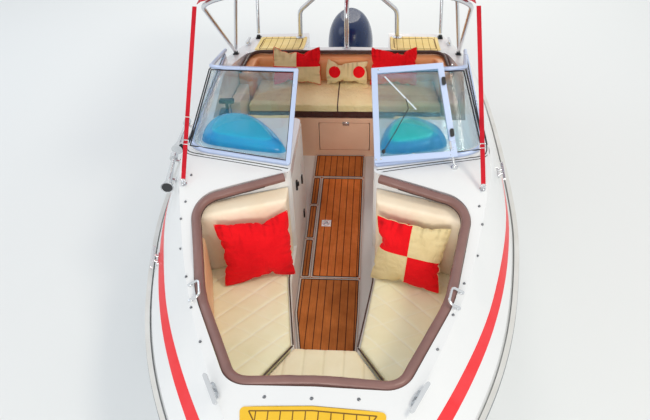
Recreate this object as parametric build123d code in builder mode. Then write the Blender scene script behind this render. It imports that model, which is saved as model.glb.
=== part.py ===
from build123d import *
import os
from math import cos, radians, sin

# An 18-foot open-bow speedboat. Millimetres, +Z up, bow towards -Y, port side towards +X.
# The origin lies on the waterline, on the centreline, at midship.

os.makedirs("parts", exist_ok=True)
pieces = {}

# Clearances
SEAT_GAP = 0.3          # between pieces that rest on each other
SWING_GAP = 5.0         # round lids, doors and panels that move
PIN_FIT = 0.05          # round pins and shafts that turn

# Joint between hull and deck: one plane that rises a little towards the bow
SHEER_Z = 520.0
SHEER_SLOPE = 0.028
SHEER = Plane(origin=(0, 0, SHEER_Z), x_dir=(1, 0, 0), z_dir=(0, SHEER_SLOPE, 1))

# Mouldings
HULL_WALL = 12.0
TRANSOM_WALL = 45.0
STRAKE = 24.0           # width of a spray strake and of the chine flat
LINER_WALL = 10.0
FLANGE_RISE = 46.0      # deck edge above the joint plane
FLANGE_STEP = 16.0      # deck edge inside the hull side
TRIM_OVERLAP = 60.0     # how far lofts run past the joint plane before they are trimmed

# Sections from stern to bow:
# y, half beam, chine half beam, chine height, keel height, ridge half width, ridge height, crown height
SECTIONS = [
    (2050, 925, 870, -98, -380, 800, 700, 722),
    (1600, 1080, 960, -70, -380, 915, 775, 792),
    (1150, 1116, 982, -61, -380, 946, 900, 915),
    (600, 1127, 990, -58, -380, 948, 966, 972),
    (0, 1118, 972, -48, -380, 925, 990, 998),
    (-330, 1097, 935, -34, -377, 893, 1002, 1009),
    (-800, 1022, 838, 6, -360, 792, 868, 905),
    (-1250, 905, 690, 66, -308, 645, 828, 868),
    (-1700, 708, 478, 160, -205, 440, 826, 862),
    (-2200, 400, 205, 320, 60, 190, 812, 842),
    (-2560, 80, 34, 470, 392, 30, 722, 736),
]


def sheer_height(y):
    return SHEER_Z - SHEER_SLOPE * y


def mirrored(points):
    """A closed outline from the port half of its points, given from the centreline outwards."""
    return points + [(-x, z) for x, z in reversed(points) if x > 0]


def hull_outline(section):
    y, beam, chine, chine_z, keel_z = section[:5]
    flat = STRAKE * min(1.0, chine / 500)
    rise = (chine_z - keel_z) / (chine - flat)
    mid = chine * 0.5
    top = sheer_height(y) + TRIM_OVERLAP
    return mirrored([
        (0, keel_z),
        (mid, keel_z + rise * mid),
        (mid + flat, keel_z + rise * mid),
        (chine, chine_z),
        (chine + flat, chine_z),
        (beam, sheer_height(y)),
        (beam, top),
    ])


def hull_inner_outline(section):
    y, beam, chine, chine_z, keel_z = section[:5]
    top = sheer_height(y) + 2 * TRIM_OVERLAP
    return mirrored([
        (0, keel_z + HULL_WALL * 1.2),
        (chine - HULL_WALL, chine_z + HULL_WALL * 1.2),
        (beam - HULL_WALL, sheer_height(y)),
        (beam - HULL_WALL, top),
    ])


def deck_outline(section):
    y, beam = section[:2]
    ridge, ridge_z, crown_z = section[5:]
    edge_z = sheer_height(y) + FLANGE_RISE
    inset = min(FLANGE_STEP, beam * 0.2)
    return mirrored([
        (0, sheer_height(y) - TRIM_OVERLAP),
        (beam, sheer_height(y) - TRIM_OVERLAP),
        (beam, sheer_height(y)),
        (beam - inset, edge_z),
        (ridge, ridge_z),
        (0, crown_z),
    ])


def loft_sections(outline, sections, mode=Mode.ADD):
    """Loft upright sections, each at its own place along the boat."""
    faces = []
    for section in sections:
        with BuildSketch(Plane.XZ.offset(-section[0])) as frame:
            with BuildLine():
                Polyline(*outline(section), close=True)
            make_face()
        faces.append(frame.sketch.face())
    loft(sections=faces, mode=mode)


def plan_shape(points, radii):
    """Fill a plan outline given as its port half, which starts and ends on the centreline."""
    with BuildLine() as half:
        FilletPolyline(*points, radius=radii)
        Line(half.line @ 1, half.line @ 0)
    make_face(half.edges())
    mirror(about=Plane.YZ)


def tube(points, radius, bends=None):
    """Sweep a round tube along straight runs joined by arcs."""
    with BuildLine() as path:
        if bends is None:
            Polyline(*points)
        else:
            FilletPolyline(*points, radius=bends)
    with BuildSketch(Plane(origin=path.line @ 0, z_dir=path.line % 0)) as section:
        Circle(radius)
    sweep(section.sketch, path=path.line)


def bar(start, end, width, depth, facing):
    """A straight bar of rectangular section; facing is the direction of its depth."""
    run = Vector(*end) - Vector(*start)
    plane = Plane(origin=start, x_dir=Vector(*facing).cross(run), z_dir=run)
    with BuildSketch(plane) as section:
        Rectangle(width, depth)
    extrude(section.sketch, amount=run.length)


def slab(sketch_points, bottom, top):
    """Extrude a closed plan outline between two heights."""
    with BuildSketch(Plane.XY.offset(bottom)) as plan:
        with BuildLine():
            Polyline(*sketch_points, close=True)
        make_face()
    extrude(plan.sketch, amount=top - bottom)


# Hull: the outer moulding, with keel, spray strakes and chine flats, open at the joint plane
MOTOR_WELL_HALF = 350.0
TRANSOM_NOTCH_Z = 140.0     # top of the transom where the outboard hangs

with BuildPart() as hull_form:
    loft_sections(hull_outline, SECTIONS)
    split(bisect_by=SHEER, keep=Keep.BOTTOM)

with BuildPart() as hull:
    add(hull_form.part)
    inner = [(SECTIONS[0][0] - TRANSOM_WALL,) + SECTIONS[0][1:]] + SECTIONS[1:-1]
    bow_end = SECTIONS[-1]
    inner.append((bow_end[0] + 60, bow_end[1] + 12, bow_end[2] + 16) + (bow_end[3] - 10, bow_end[4] - 20))
    loft_sections(hull_inner_outline, inner, mode=Mode.SUBTRACT)
    with BuildSketch(Plane.XY.offset(TRANSOM_NOTCH_Z)):
        with Locations((0, SECTIONS[0][0])):
            Rectangle(2 * MOTOR_WELL_HALF, 4 * TRANSOM_WALL)
    extrude(amount=1000, mode=Mode.SUBTRACT)
pieces["hull"] = hull

# Cockpit plan: bow well, passage between the consoles, and the cockpit with its bench
PASSAGE_HALF = 240.0
DASH_AFT_Y = 265.0
DASH_FRONT_Y = -325.0
COCKPIT_SIDE = (865, 900)
COCKPIT_AFT = (800, 1545)
DASH_UNDERSIDE_Z = 935.0
BOW_WELL = [
    (0, -1680), (395, -1668), (655, -1140), (800, -520),
    (PASSAGE_HALF, -340), (PASSAGE_HALF, -200), (0, -200),
]
BOW_WELL_RADII = [150, 900, 170, 40, 5]
COCKPIT = [(0, DASH_FRONT_Y), (775, DASH_FRONT_Y), COCKPIT_SIDE, COCKPIT_AFT, (0, COCKPIT_AFT[1])]
COCKPIT_RADII = [80, 600, 130]
dash_corner_x = 775 + (COCKPIT_SIDE[0] - 775) * (DASH_AFT_Y - DASH_FRONT_Y) / (COCKPIT_SIDE[1] - DASH_FRONT_Y)
OPEN_COCKPIT = [
    (0, -250), (PASSAGE_HALF, -250), (PASSAGE_HALF, DASH_AFT_Y), (dash_corner_x, DASH_AFT_Y),
    COCKPIT_SIDE, COCKPIT_AFT, (0, COCKPIT_AFT[1]),
]
OPEN_COCKPIT_RADII = [5, 40, 5, 600, 130]

# Motor well behind the bench and anchor locker in the foredeck
MOTOR_WELL_FRONT_Y = 1665.0
ANCHOR_LID = [(0, -1775), (315, -1775), (285, -1960), (190, -2130), (0, -2130)]
ANCHOR_LID_RADII = [20, 60, 40]
LOCKER_RIM = 28.0
LID_LEDGE = Plane(origin=(0, ANCHOR_LID[0][1], 832), x_dir=(1, 0, 0), z_dir=(0, -0.052, 1))

# Windshield: a bottom rail on a moulded riser and a top rail, each in a tilted plane
RAIL_RADIUS = 13.0
RISER_WIDTH = 34.0
RISER_HEIGHT = 60.0
BASE_INNER = (256, -300, 1034)
BASE_CORNER = (885, -150, 1028)
BASE_AFT = (905, 1130, 978)
TOP_INNER = (226, 110, 1410)
TOP_CORNER = (770, 205, 1374)
TOP_AFT = (893, 1130, 1016)
BASE_BEND = 180.0
TOP_BEND = 140.0
base_slope = (BASE_INNER[2] - BASE_AFT[2]) / (BASE_AFT[1] - BASE_INNER[1])
RISER_TOP = Plane(
    origin=(0, BASE_INNER[1], BASE_INNER[2] - RAIL_RADIUS - SEAT_GAP),
    x_dir=(1, 0, 0),
    z_dir=(0, base_slope, 1),
)

with BuildPart() as deck_form:
    loft_sections(deck_outline, SECTIONS)

with BuildPart() as deck:
    add(deck_form.part)
    split(bisect_by=SHEER.offset(SEAT_GAP), keep=Keep.TOP)
    # moulded riser under the windshield rail, on both sides
    for side in (1, -1):
        with BuildSketch(Plane.XY.offset(BASE_AFT[2] - RISER_HEIGHT)):
            with BuildLine():
                FilletPolyline(
                    (side * BASE_INNER[0], BASE_INNER[1]),
                    (side * BASE_CORNER[0], BASE_CORNER[1]),
                    (side * BASE_AFT[0], BASE_AFT[1]),
                    radius=BASE_BEND,
                )
            trace(line_width=RISER_WIDTH)
        extrude(amount=RISER_HEIGHT + BASE_INNER[2] - BASE_AFT[2])
    split(bisect_by=RISER_TOP, keep=Keep.BOTTOM)
    # bow well and passage
    with BuildSketch():
        plan_shape(BOW_WELL, BOW_WELL_RADII)
    extrude(amount=1500, mode=Mode.SUBTRACT)
    # hollow under the dash, then the open cockpit behind it
    with BuildSketch():
        plan_shape(COCKPIT, COCKPIT_RADII)
    extrude(amount=DASH_UNDERSIDE_Z, mode=Mode.SUBTRACT)
    with BuildSketch():
        plan_shape(OPEN_COCKPIT, OPEN_COCKPIT_RADII)
    extrude(amount=1500, mode=Mode.SUBTRACT)
    # motor well
    with BuildSketch():
        with Locations((0, MOTOR_WELL_FRONT_Y)):
            Rectangle(2 * MOTOR_WELL_HALF, 1000, align=(Align.CENTER, Align.MIN))
    extrude(amount=1500, mode=Mode.SUBTRACT)
    # anchor locker, with a ledge that its lid rests on
    with BuildSketch():
        plan_shape(ANCHOR_LID, ANCHOR_LID_RADII)
        offset(amount=-LOCKER_RIM)
    extrude(amount=1500, mode=Mode.SUBTRACT)
    with BuildSketch(LID_LEDGE):
        plan_shape([(x, y - ANCHOR_LID[0][1]) for x, y in ANCHOR_LID], ANCHOR_LID_RADII)
        offset(amount=SWING_GAP)
    extrude(amount=100, mode=Mode.SUBTRACT)
pieces["deck"] = deck


def deck_height(x, y):
    """Height of the deck's upper surface at a point of its plan."""
    hits = deck.part.find_intersection_points(Axis((x, y, 3000), (0, 0, -1)))
    return max(point.Z for point, normal in hits)


def on_deck(x, y, reach=25):
    """A plane seated on the deck, tilted as the deck is round that point."""
    here = Vector(x, y, deck_height(x, y))
    across = Vector(2 * reach, 0, deck_height(x + reach, y) - deck_height(x - reach, y))
    along = Vector(0, 2 * reach, deck_height(x, y + reach) - deck_height(x, y - reach))
    normal = across.cross(along).normalized()
    return Plane(origin=here + normal * (2 * SEAT_GAP), x_dir=across, z_dir=normal)


# Rub rail: a band round the joint, along both sides and the bow
RUB_WIDTH = 27.0
RUB_HEIGHT = 46.0


def rub_outline(section):
    y, half = section
    z = sheer_height(y)
    return mirrored([(half, z - RUB_HEIGHT / 2), (half, z + RUB_HEIGHT / 2)])


rub_inner = [(section[0], section[1] + 3 * SEAT_GAP) for section in SECTIONS[:-1]]
rub_outer = [(section[0], section[1] + RUB_WIDTH) for section in SECTIONS[:-1]]
bow_y, bow_half = SECTIONS[-1][:2]
with BuildPart() as rub_rail:
    loft_sections(rub_outline, rub_outer + [(bow_y - RUB_WIDTH, bow_half + RUB_WIDTH * 0.5)])
    loft_sections(rub_outline, rub_inner + [(bow_y - SEAT_GAP, bow_half + SEAT_GAP)], mode=Mode.SUBTRACT)
pieces["rub_rail"] = rub_rail

# Cockpit liner: floor, sides, bow seat platforms, footwell and the locker under the hatch
FLOOR_Z = 105.0
FLOOR_SKIN = 10.0
SEAT_PLATFORM_Z = 400.0
SEAT_SKIN = 20.0
FOOTWELL = [(0, -1165), (170, -1165), (PASSAGE_HALF, -660), (PASSAGE_HALF, -200), (0, -200)]
FOOTWELL_RADII = [30, 300, 5]
HATCH_HALF = 165.0
HATCH_FRONT_Y = -340.0
HATCH_AFT_Y = 740.0
HATCH_LEDGE = 14.0
LOCKER_DEPTH = 215.0
LOCKER_SKIN = 8.0
hatch_length = HATCH_AFT_Y - HATCH_FRONT_Y
hatch_middle = (HATCH_AFT_Y + HATCH_FRONT_Y) / 2

with BuildPart() as liner:
    for points, radii, bottom, top in (
        (BOW_WELL, BOW_WELL_RADII, SEAT_PLATFORM_Z - SEAT_SKIN, 800),
        (COCKPIT, COCKPIT_RADII, FLOOR_Z - FLOOR_SKIN, 800),
        (FOOTWELL, FOOTWELL_RADII, FLOOR_Z - FLOOR_SKIN, SEAT_PLATFORM_Z),
    ):
        with BuildSketch(Plane.XY.offset(bottom)):
            plan_shape(points, radii)
            offset(amount=LINER_WALL)
        extrude(amount=top - bottom)
    with BuildSketch(Plane.XY.offset(FLOOR_Z - LOCKER_DEPTH - LOCKER_SKIN)):
        with Locations((0, hatch_middle)):
            Rectangle(
                2 * (HATCH_HALF - HATCH_LEDGE + LOCKER_SKIN),
                hatch_length - 2 * (HATCH_LEDGE - LOCKER_SKIN),
            )
    extrude(amount=LOCKER_DEPTH + LOCKER_SKIN)
    for points, radii, bottom in (
        (BOW_WELL, BOW_WELL_RADII, SEAT_PLATFORM_Z),
        (COCKPIT, COCKPIT_RADII, FLOOR_Z),
        (FOOTWELL, FOOTWELL_RADII, FLOOR_Z),
    ):
        with BuildSketch(Plane.XY.offset(bottom)):
            plan_shape(points, radii)
        extrude(amount=1000, mode=Mode.SUBTRACT)
    with BuildSketch(Plane.XY.offset(FLOOR_Z - LOCKER_DEPTH)):
        with Locations((0, hatch_middle)):
            Rectangle(2 * (HATCH_HALF - HATCH_LEDGE), hatch_length - 2 * HATCH_LEDGE)
    extrude(amount=LOCKER_DEPTH + 50, mode=Mode.SUBTRACT)
    split(bisect_by=SHEER, keep=Keep.BOTTOM)
pieces["liner"] = liner

# Motor well: a tray between bench and transom, open at the transom's notch
with BuildPart() as motor_well:
    well_depth = SECTIONS[0][0] - TRANSOM_WALL - MOTOR_WELL_FRONT_Y
    with BuildSketch(Plane.XY.offset(TRANSOM_NOTCH_Z - FLOOR_SKIN)):
        with Locations((0, MOTOR_WELL_FRONT_Y - LINER_WALL)):
            Rectangle(
                2 * (MOTOR_WELL_HALF + LINER_WALL),
                well_depth + LINER_WALL - SEAT_GAP,
                align=(Align.CENTER, Align.MIN),
            )
    extrude(amount=500)
    with BuildSketch(Plane.XY.offset(TRANSOM_NOTCH_Z)):
        with Locations((0, MOTOR_WELL_FRONT_Y)):
            Rectangle(2 * MOTOR_WELL_HALF, 1000, align=(Align.CENTER, Align.MIN))
    extrude(amount=1000, mode=Mode.SUBTRACT)
    split(bisect_by=SHEER, keep=Keep.BOTTOM)
pieces["motor_well"] = motor_well

# Teak floor boards, laid loose on the liner round the hatch
TEAK_TOP_Z = 120.0
BOARD_GAP = 5.0
BENCH_FRONT_Y = 1050.0
with BuildPart() as floor_boards:
    base = FLOOR_Z + SEAT_GAP
    side = PASSAGE_HALF - 6
    front = HATCH_FRONT_Y - BOARD_GAP
    bow_board = [
        (-side, front), (HATCH_HALF, front), (HATCH_HALF, -650), (150, -1145), (-150, -1145), (-side, -650),
    ]
    slab(bow_board, base, TEAK_TOP_Z)
    hatch_edge = -HATCH_HALF - BOARD_GAP
    for start, end in ((HATCH_FRONT_Y, 30), (35, 400), (405, HATCH_AFT_Y)):
        slab([(-side, start), (hatch_edge, start), (hatch_edge, end), (-side, end)], base, TEAK_TOP_Z)
    aft = HATCH_AFT_Y + BOARD_GAP
    end = BENCH_FRONT_Y - 8
    slab([(-side, aft), (HATCH_HALF, aft), (HATCH_HALF, end), (-side, end)], base, TEAK_TOP_Z)
pieces["floor_boards"] = floor_boards

# Floor hatch over the long locker, hinged along its port edge
with BuildPart() as floor_hatch:
    slab(
        [
            (-HATCH_HALF, HATCH_FRONT_Y), (HATCH_HALF, HATCH_FRONT_Y),
            (HATCH_HALF, HATCH_AFT_Y), (-HATCH_HALF, HATCH_AFT_Y),
        ],
        FLOOR_Z + SEAT_GAP,
        TEAK_TOP_Z,
    )
    # round pocket for the lifting ring
    with BuildSketch(Plane.XY.offset(TEAK_TOP_Z)):
        with Locations((-HATCH_HALF + 70, 200)):
            Circle(30)
    extrude(amount=-8, mode=Mode.SUBTRACT)
pieces["floor_hatch"] = floor_hatch

with BuildPart() as hatch_ring:
    with BuildSketch(Plane.XY.offset(TEAK_TOP_Z - 8 + SEAT_GAP)):
        with Locations((-HATCH_HALF + 70, 200)):
            Circle(26)
            Circle(17, mode=Mode.SUBTRACT)
    extrude(amount=7)
pieces["hatch_ring"] = hatch_ring

# Consoles: inner walls along the passage and an instrument panel facing aft
CONSOLE_WALL = 12.0
PANEL_BOTTOM_Z = 640.0
DOOR_FRONT_Y = -245.0
DOOR_AFT_Y = 125.0
DOOR_BOTTOM_Z = 200.0
DOOR_TOP_Z = 720.0
PANEL_OUTER = 795.0
with BuildPart() as consoles:
    wall_front = DASH_FRONT_Y + SEAT_GAP
    for side in (1, -1):
        slab(
            [
                (side * PASSAGE_HALF, wall_front),
                (side * (PASSAGE_HALF + CONSOLE_WALL), wall_front),
                (side * (PASSAGE_HALF + CONSOLE_WALL), DASH_AFT_Y - CONSOLE_WALL),
                (side * (PASSAGE_HALF + CONSOLE_WALL), DASH_AFT_Y),
                (side * PASSAGE_HALF, DASH_AFT_Y),
            ],
            FLOOR_Z + SEAT_GAP,
            DASH_UNDERSIDE_Z - SEAT_GAP,
        )
        slab(
            [
                (side * PASSAGE_HALF, DASH_AFT_Y - CONSOLE_WALL),
                (side * PANEL_OUTER, DASH_AFT_Y - CONSOLE_WALL),
                (side * PANEL_OUTER, DASH_AFT_Y),
                (side * PASSAGE_HALF, DASH_AFT_Y),
            ],
            PANEL_BOTTOM_Z,
            DASH_UNDERSIDE_Z - SEAT_GAP,
        )
    door_mid_y, door_mid_z = (DOOR_FRONT_Y + DOOR_AFT_Y) / 2, (DOOR_BOTTOM_Z + DOOR_TOP_Z) / 2
    with Locations((-PASSAGE_HALF - CONSOLE_WALL / 2, door_mid_y, door_mid_z)):
        Box(4 * CONSOLE_WALL, DOOR_AFT_Y - DOOR_FRONT_Y, DOOR_TOP_Z - DOOR_BOTTOM_Z, mode=Mode.SUBTRACT)
pieces["consoles"] = consoles

# Locker door in the starboard console, hinged at its front edge, with two black latches
with BuildPart() as console_door:
    door_x = -PASSAGE_HALF - CONSOLE_WALL / 2
    with Locations((door_x, (DOOR_FRONT_Y + DOOR_AFT_Y) / 2, (DOOR_BOTTOM_Z + DOOR_TOP_Z) / 2)):
        Box(
            CONSOLE_WALL,
            DOOR_AFT_Y - DOOR_FRONT_Y - 2 * SWING_GAP,
            DOOR_TOP_Z - DOOR_BOTTOM_Z - 2 * SWING_GAP,
        )
    fillet(console_door.edges().filter_by(Axis.X), 18)
pieces["console_door"] = console_door

with BuildPart() as door_latches:
    for z in (DOOR_BOTTOM_Z + 110, DOOR_TOP_Z - 110):
        with Locations((-PASSAGE_HALF + SEAT_GAP, DOOR_AFT_Y - 34, z)):
            Box(9, 26, 60, align=(Align.MIN, Align.CENTER, Align.CENTER))
pieces["door_latches"] = door_latches

# Instrument panel, steering wheel on its column, and the throttle on the starboard side
HELM_X = -540.0
with BuildPart() as instrument_panel:
    with BuildSketch(Plane.XZ.offset(-(DASH_AFT_Y + SEAT_GAP))):
        with Locations((HELM_X, 845)):
            RectangleRounded(400, 130, 30)
    extrude(amount=-10)
    with BuildSketch(Plane.XZ.offset(-(DASH_AFT_Y + SEAT_GAP + 10))):
        with Locations((HELM_X - 130, 850), (HELM_X - 45, 855), (HELM_X + 45, 855), (HELM_X + 130, 850)):
            Circle(34)
    extrude(amount=-7)
pieces["instrument_panel"] = instrument_panel

WHEEL_RADIUS = 160.0
WHEEL_TILT = 28.0
WHEEL_SHAFT = 10.0
HUB = Plane(
    origin=(HELM_X, DASH_AFT_Y + 18 + 90, 690),
    x_dir=(1, 0, 0),
    z_dir=(0, cos(radians(WHEEL_TILT)), sin(radians(WHEEL_TILT))),
)
with BuildPart() as helm_mount:
    with BuildSketch(HUB.offset(-104)):
        Circle(46)
    extrude(amount=30)
    with BuildSketch(HUB.offset(-74)):
        Circle(30)
    extrude(amount=48)
    with BuildSketch(HUB.offset(-74)):
        Circle(WHEEL_SHAFT)
    extrude(amount=80)
    split(bisect_by=Plane.XZ.offset(-(DASH_AFT_Y + SEAT_GAP)), keep=Keep.BOTTOM)
pieces["helm_mount"] = helm_mount

with BuildPart() as steering_wheel:
    rim_point = HUB.from_local_coords((WHEEL_RADIUS, 0, 30))
    with BuildSketch(Plane(origin=rim_point, x_dir=HUB.x_dir, z_dir=HUB.y_dir)):
        Circle(13)
    revolve(axis=Axis(HUB.origin, HUB.z_dir))
    with BuildSketch(HUB.offset(-20)):
        Circle(42)
        Circle(WHEEL_SHAFT + PIN_FIT, mode=Mode.SUBTRACT)
    extrude(amount=30)
    with BuildSketch(HUB.offset(10)):
        Circle(42)
    extrude(amount=14)
    for turn in (90, 210, 330):
        with BuildSketch(HUB.offset(12)):
            with BuildLine():
                a = radians(turn)
                Polyline(
                    (26 * cos(a) - 17 * sin(a), 26 * sin(a) + 17 * cos(a)),
                    (152 * cos(a) - 11 * sin(a), 152 * sin(a) + 11 * cos(a)),
                    (152 * cos(a) + 11 * sin(a), 152 * sin(a) - 11 * cos(a)),
                    (26 * cos(a) + 17 * sin(a), 26 * sin(a) - 17 * cos(a)),
                    close=True,
                )
            make_face()
        extrude(amount=10)
pieces["steering_wheel"] = steering_wheel

# Throttle: a control box on the starboard side wall and a lever with a T handle
with BuildPart() as throttle:
    with BuildSketch(Plane.YZ.offset(-831)):
        with Locations((505, 800)):
            RectangleRounded(120, 150, 25)
    extrude(amount=36)
    with BuildSketch(Plane.YZ.offset(-795)):
        with Locations((505, 800)):
            Circle(30)
    extrude(amount=16)
    bar((-783, 505, 800), (-783, 530, 930), 16, 20, (1, 0, 0))
    with Locations((-783, 532, 940)):
        Box(100, 30, 30)
    fillet(throttle.edges().group_by(Axis.Z)[-1], 8)
pieces["throttle"] = throttle

# Turquoise dash hoods: low domes in front of the helm and of the passenger, seated on the dash
HOOD_TOP_Z = 1072.0
HOODS = [
    ([(-262, -200), (-838, -74), (-832, 110), (-762, 214), (-620, 232), (-470, 140), (-325, -45)], 40),
    ([(262, -196), (688, -100), (672, 40), (600, 130), (480, 205), (370, 190), (285, 60)], 40),
]
with BuildPart() as dash_hoods:
    for outline, corner in HOODS:
        with BuildSketch(Plane.XY.offset(HOOD_TOP_Z)) as plan:
            with BuildLine():
                Polyline(*outline, close=True)
            make_face()
            fillet(plan.vertices(), corner)
            offset(amount=-48)
        extrude(amount=-90, taper=-30)
    fillet(dash_hoods.edges().group_by(Axis.Z)[-1], 30)
    add(deck_form.part.moved(Location((0, 0, SEAT_GAP))), mode=Mode.SUBTRACT)
pieces["dash_hoods"] = dash_hoods

# Bow seats: two side cushions, a centre cushion, backrests against the consoles and side pads
CUSHION_TOP_Z = 462.0
PAD_GAP = 8.0
BACKREST_DEPTH = 92.0
SIDE_PAD = 46.0
FOOT_HALF = 178.0
with BuildPart() as bow_side_cushions:
    with BuildSketch(Plane.XY.offset(SEAT_PLATFORM_Z + SEAT_GAP)):
        plan_shape(BOW_WELL, BOW_WELL_RADII)
        offset(amount=-PAD_GAP)
        with BuildLine():
            Polyline(
                (PASSAGE_HALF + 12, -458), (PASSAGE_HALF + 12, -655), (FOOT_HALF, -1160),
                (530, -1690), (900, -1690), (900, -666), close=True,
            )
        make_face(mode=Mode.INTERSECT)
        mirror(about=Plane.YZ)
    extrude(amount=CUSHION_TOP_Z - SEAT_PLATFORM_Z)
pieces["bow_side_cushions"] = bow_side_cushions

with BuildPart() as bow_centre_cushion:
    with BuildSketch(Plane.XY.offset(SEAT_PLATFORM_Z + SEAT_GAP)):
        plan_shape(BOW_WELL, BOW_WELL_RADII)
        offset(amount=-PAD_GAP)
        with BuildLine():
            Polyline((-FOOT_HALF + 9, -1170), (FOOT_HALF - 9, -1170), (516, -1700), (-516, -1700), close=True)
        make_face(mode=Mode.INTERSECT)
    extrude(amount=CUSHION_TOP_Z - SEAT_PLATFORM_Z)
pieces["bow_centre_cushion"] = bow_centre_cushion

# Padded roll round the rim of the bow well: each corner of its path is a corner of the well, moved in
ROLL_RADIUS = 26.0
ROLL_GAP = 2.0
ROLL_END_X = 270.0
ROLL_DROP = 14.0           # centre of the roll below the deck's rim
FRONT_BEND = 1500.0


def inset_corner(before, corner, after, amount):
    """A corner of a plan outline moved inwards by the same distance from both of its sides."""
    before, corner, after = Vector(*before), Vector(*corner), Vector(*after)
    into, out = (corner - before).normalized(), (after - corner).normalized()
    half = radians(into.get_angle(out)) / 2
    return corner + (out - into).normalized() * (amount / cos(half))


roll_margin = ROLL_RADIUS + ROLL_GAP
front_corner, side_corner, aft_corner = [
    inset_corner(*BOW_WELL[i - 1:i + 2], roll_margin) for i in (1, 2, 3)
]
aft_slope = (BOW_WELL[4][1] - BOW_WELL[3][1]) / (BOW_WELL[3][0] - BOW_WELL[4][0])
roll_end = Vector(ROLL_END_X, aft_corner.Y + aft_slope * (aft_corner.X - ROLL_END_X))
roll_half = []
for point, rim in (
    (Vector(0, front_corner.Y), (0, -1690)), (front_corner, (400, -1690)), (side_corner, (664, -1185)),
    (aft_corner, (808, -540)), (roll_end, (300, -330)),
):
    roll_half.append(Vector(point.X, point.Y, deck_height(*rim) - ROLL_DROP))


def under_roll(start, end):
    """A plane just below a straight run of the roll, level across the run."""
    run = end - start
    level_side = run.cross(Vector(0, 0, 1))
    normal = level_side.cross(run)
    return Plane(origin=start, x_dir=run, z_dir=normal).offset(-roll_margin)


with BuildPart() as bow_bolster:
    path = [point for point in reversed(roll_half)] + [Vector(-p.X, p.Y, p.Z) for p in roll_half[1:]]
    tube(path, ROLL_RADIUS, [142, 600, 122, FRONT_BEND, 122, 600, 142])
pieces["bow_bolster"] = bow_bolster

with BuildPart() as bow_backrests:
    with BuildSketch(Plane.XY.offset(SEAT_PLATFORM_Z + SEAT_GAP)):
        plan_shape(BOW_WELL, BOW_WELL_RADII)
        offset(amount=-PAD_GAP)
        with BuildLine():
            inner_x = PASSAGE_HALF + 12
            Polyline((inner_x, -300), (inner_x, -454), (900, -662), (900, -400), close=True)
        make_face(mode=Mode.INTERSECT)
    extrude(amount=600)
    for top in (under_roll(roll_half[3], roll_half[4]), under_roll(roll_half[2], roll_half[3])):
        split(bisect_by=top, keep=Keep.BOTTOM)
    mirror(about=Plane.YZ)
pieces["bow_backrests"] = bow_backrests

with BuildPart() as bow_side_pads:
    with BuildSketch(Plane.XY.offset(CUSHION_TOP_Z + 2)):
        plan_shape(BOW_WELL, BOW_WELL_RADII)
        offset(amount=-PAD_GAP)
        with BuildSketch(mode=Mode.PRIVATE) as core:
            plan_shape(BOW_WELL, BOW_WELL_RADII)
            offset(amount=-PAD_GAP - SIDE_PAD)
        add(core.sketch, mode=Mode.SUBTRACT)
        with BuildLine():
            Polyline((300, -1180), (900, -1180), (900, -668), (300, -668), close=True)
        make_face(mode=Mode.INTERSECT)
    extrude(amount=450)
    for top in (under_roll(roll_half[2], roll_half[3]), under_roll(roll_half[1], roll_half[2])):
        split(bisect_by=top, keep=Keep.BOTTOM)
    mirror(about=Plane.YZ)
pieces["bow_side_pads"] = bow_side_pads

# Rear bench: a hollow base with a drop-down door, two cushions, a wrap-round backrest and its trim
BENCH_TOP_Z = 470.0
BENCH_SKIN = 15.0
BENCH_PAD = 88.0
BENCH_DOOR_HALF = 205.0
BENCH_DOOR_BOTTOM = 165.0
BENCH_DOOR_TOP = 430.0
with BuildPart() as bench_base:
    for inset, bottom, top, mode in (
        (-3.0, FLOOR_Z + SEAT_GAP, BENCH_TOP_Z, Mode.ADD),
        (-3.0 - BENCH_SKIN, FLOOR_Z, BENCH_TOP_Z - BENCH_SKIN, Mode.SUBTRACT),
    ):
        with BuildSketch(Plane.XY.offset(bottom)):
            plan_shape(COCKPIT, COCKPIT_RADII)
            offset(amount=inset)
            with Locations((0, BENCH_FRONT_Y - 3.0 - inset)):
                Rectangle(2400, 1000, align=(Align.CENTER, Align.MIN), mode=Mode.INTERSECT)
        extrude(amount=top - bottom, mode=mode)
    with Locations((0, BENCH_FRONT_Y, (BENCH_DOOR_BOTTOM + BENCH_DOOR_TOP) / 2)):
        Box(2 * BENCH_DOOR_HALF, 4 * BENCH_SKIN, BENCH_DOOR_TOP - BENCH_DOOR_BOTTOM, mode=Mode.SUBTRACT)
pieces["bench_base"] = bench_base

with BuildPart() as bench_door:
    with Locations((0, BENCH_FRONT_Y + BENCH_SKIN / 2, (BENCH_DOOR_BOTTOM + BENCH_DOOR_TOP) / 2)):
        Box(2 * (BENCH_DOOR_HALF - SWING_GAP), BENCH_SKIN, BENCH_DOOR_TOP - BENCH_DOOR_BOTTOM - 2 * SWING_GAP)
    fillet(bench_door.edges().filter_by(Axis.Y), 14)
pieces["bench_door"] = bench_door

def bench_ring(near, far, bottom, top, width):
    """Extrude the band of the cockpit plan between two distances along it."""
    with BuildSketch(Plane.XY.offset(bottom)) as band:
        plan_shape(COCKPIT, COCKPIT_RADII)
        offset(amount=-3.0)
        with BuildSketch(mode=Mode.PRIVATE) as core:
            plan_shape(COCKPIT, COCKPIT_RADII)
            offset(amount=-3.0 - width)
        add(core.sketch, mode=Mode.SUBTRACT)
        with Locations((0, near)):
            Rectangle(2400, far - near, align=(Align.CENTER, Align.MIN), mode=Mode.INTERSECT)
    extrude(band.sketch, amount=top - bottom)

with BuildPart() as bench_backrest:
    bench_ring(1185, 1600, BENCH_TOP_Z + SEAT_GAP, 788, BENCH_PAD)
pieces["bench_backrest"] = bench_backrest

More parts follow.
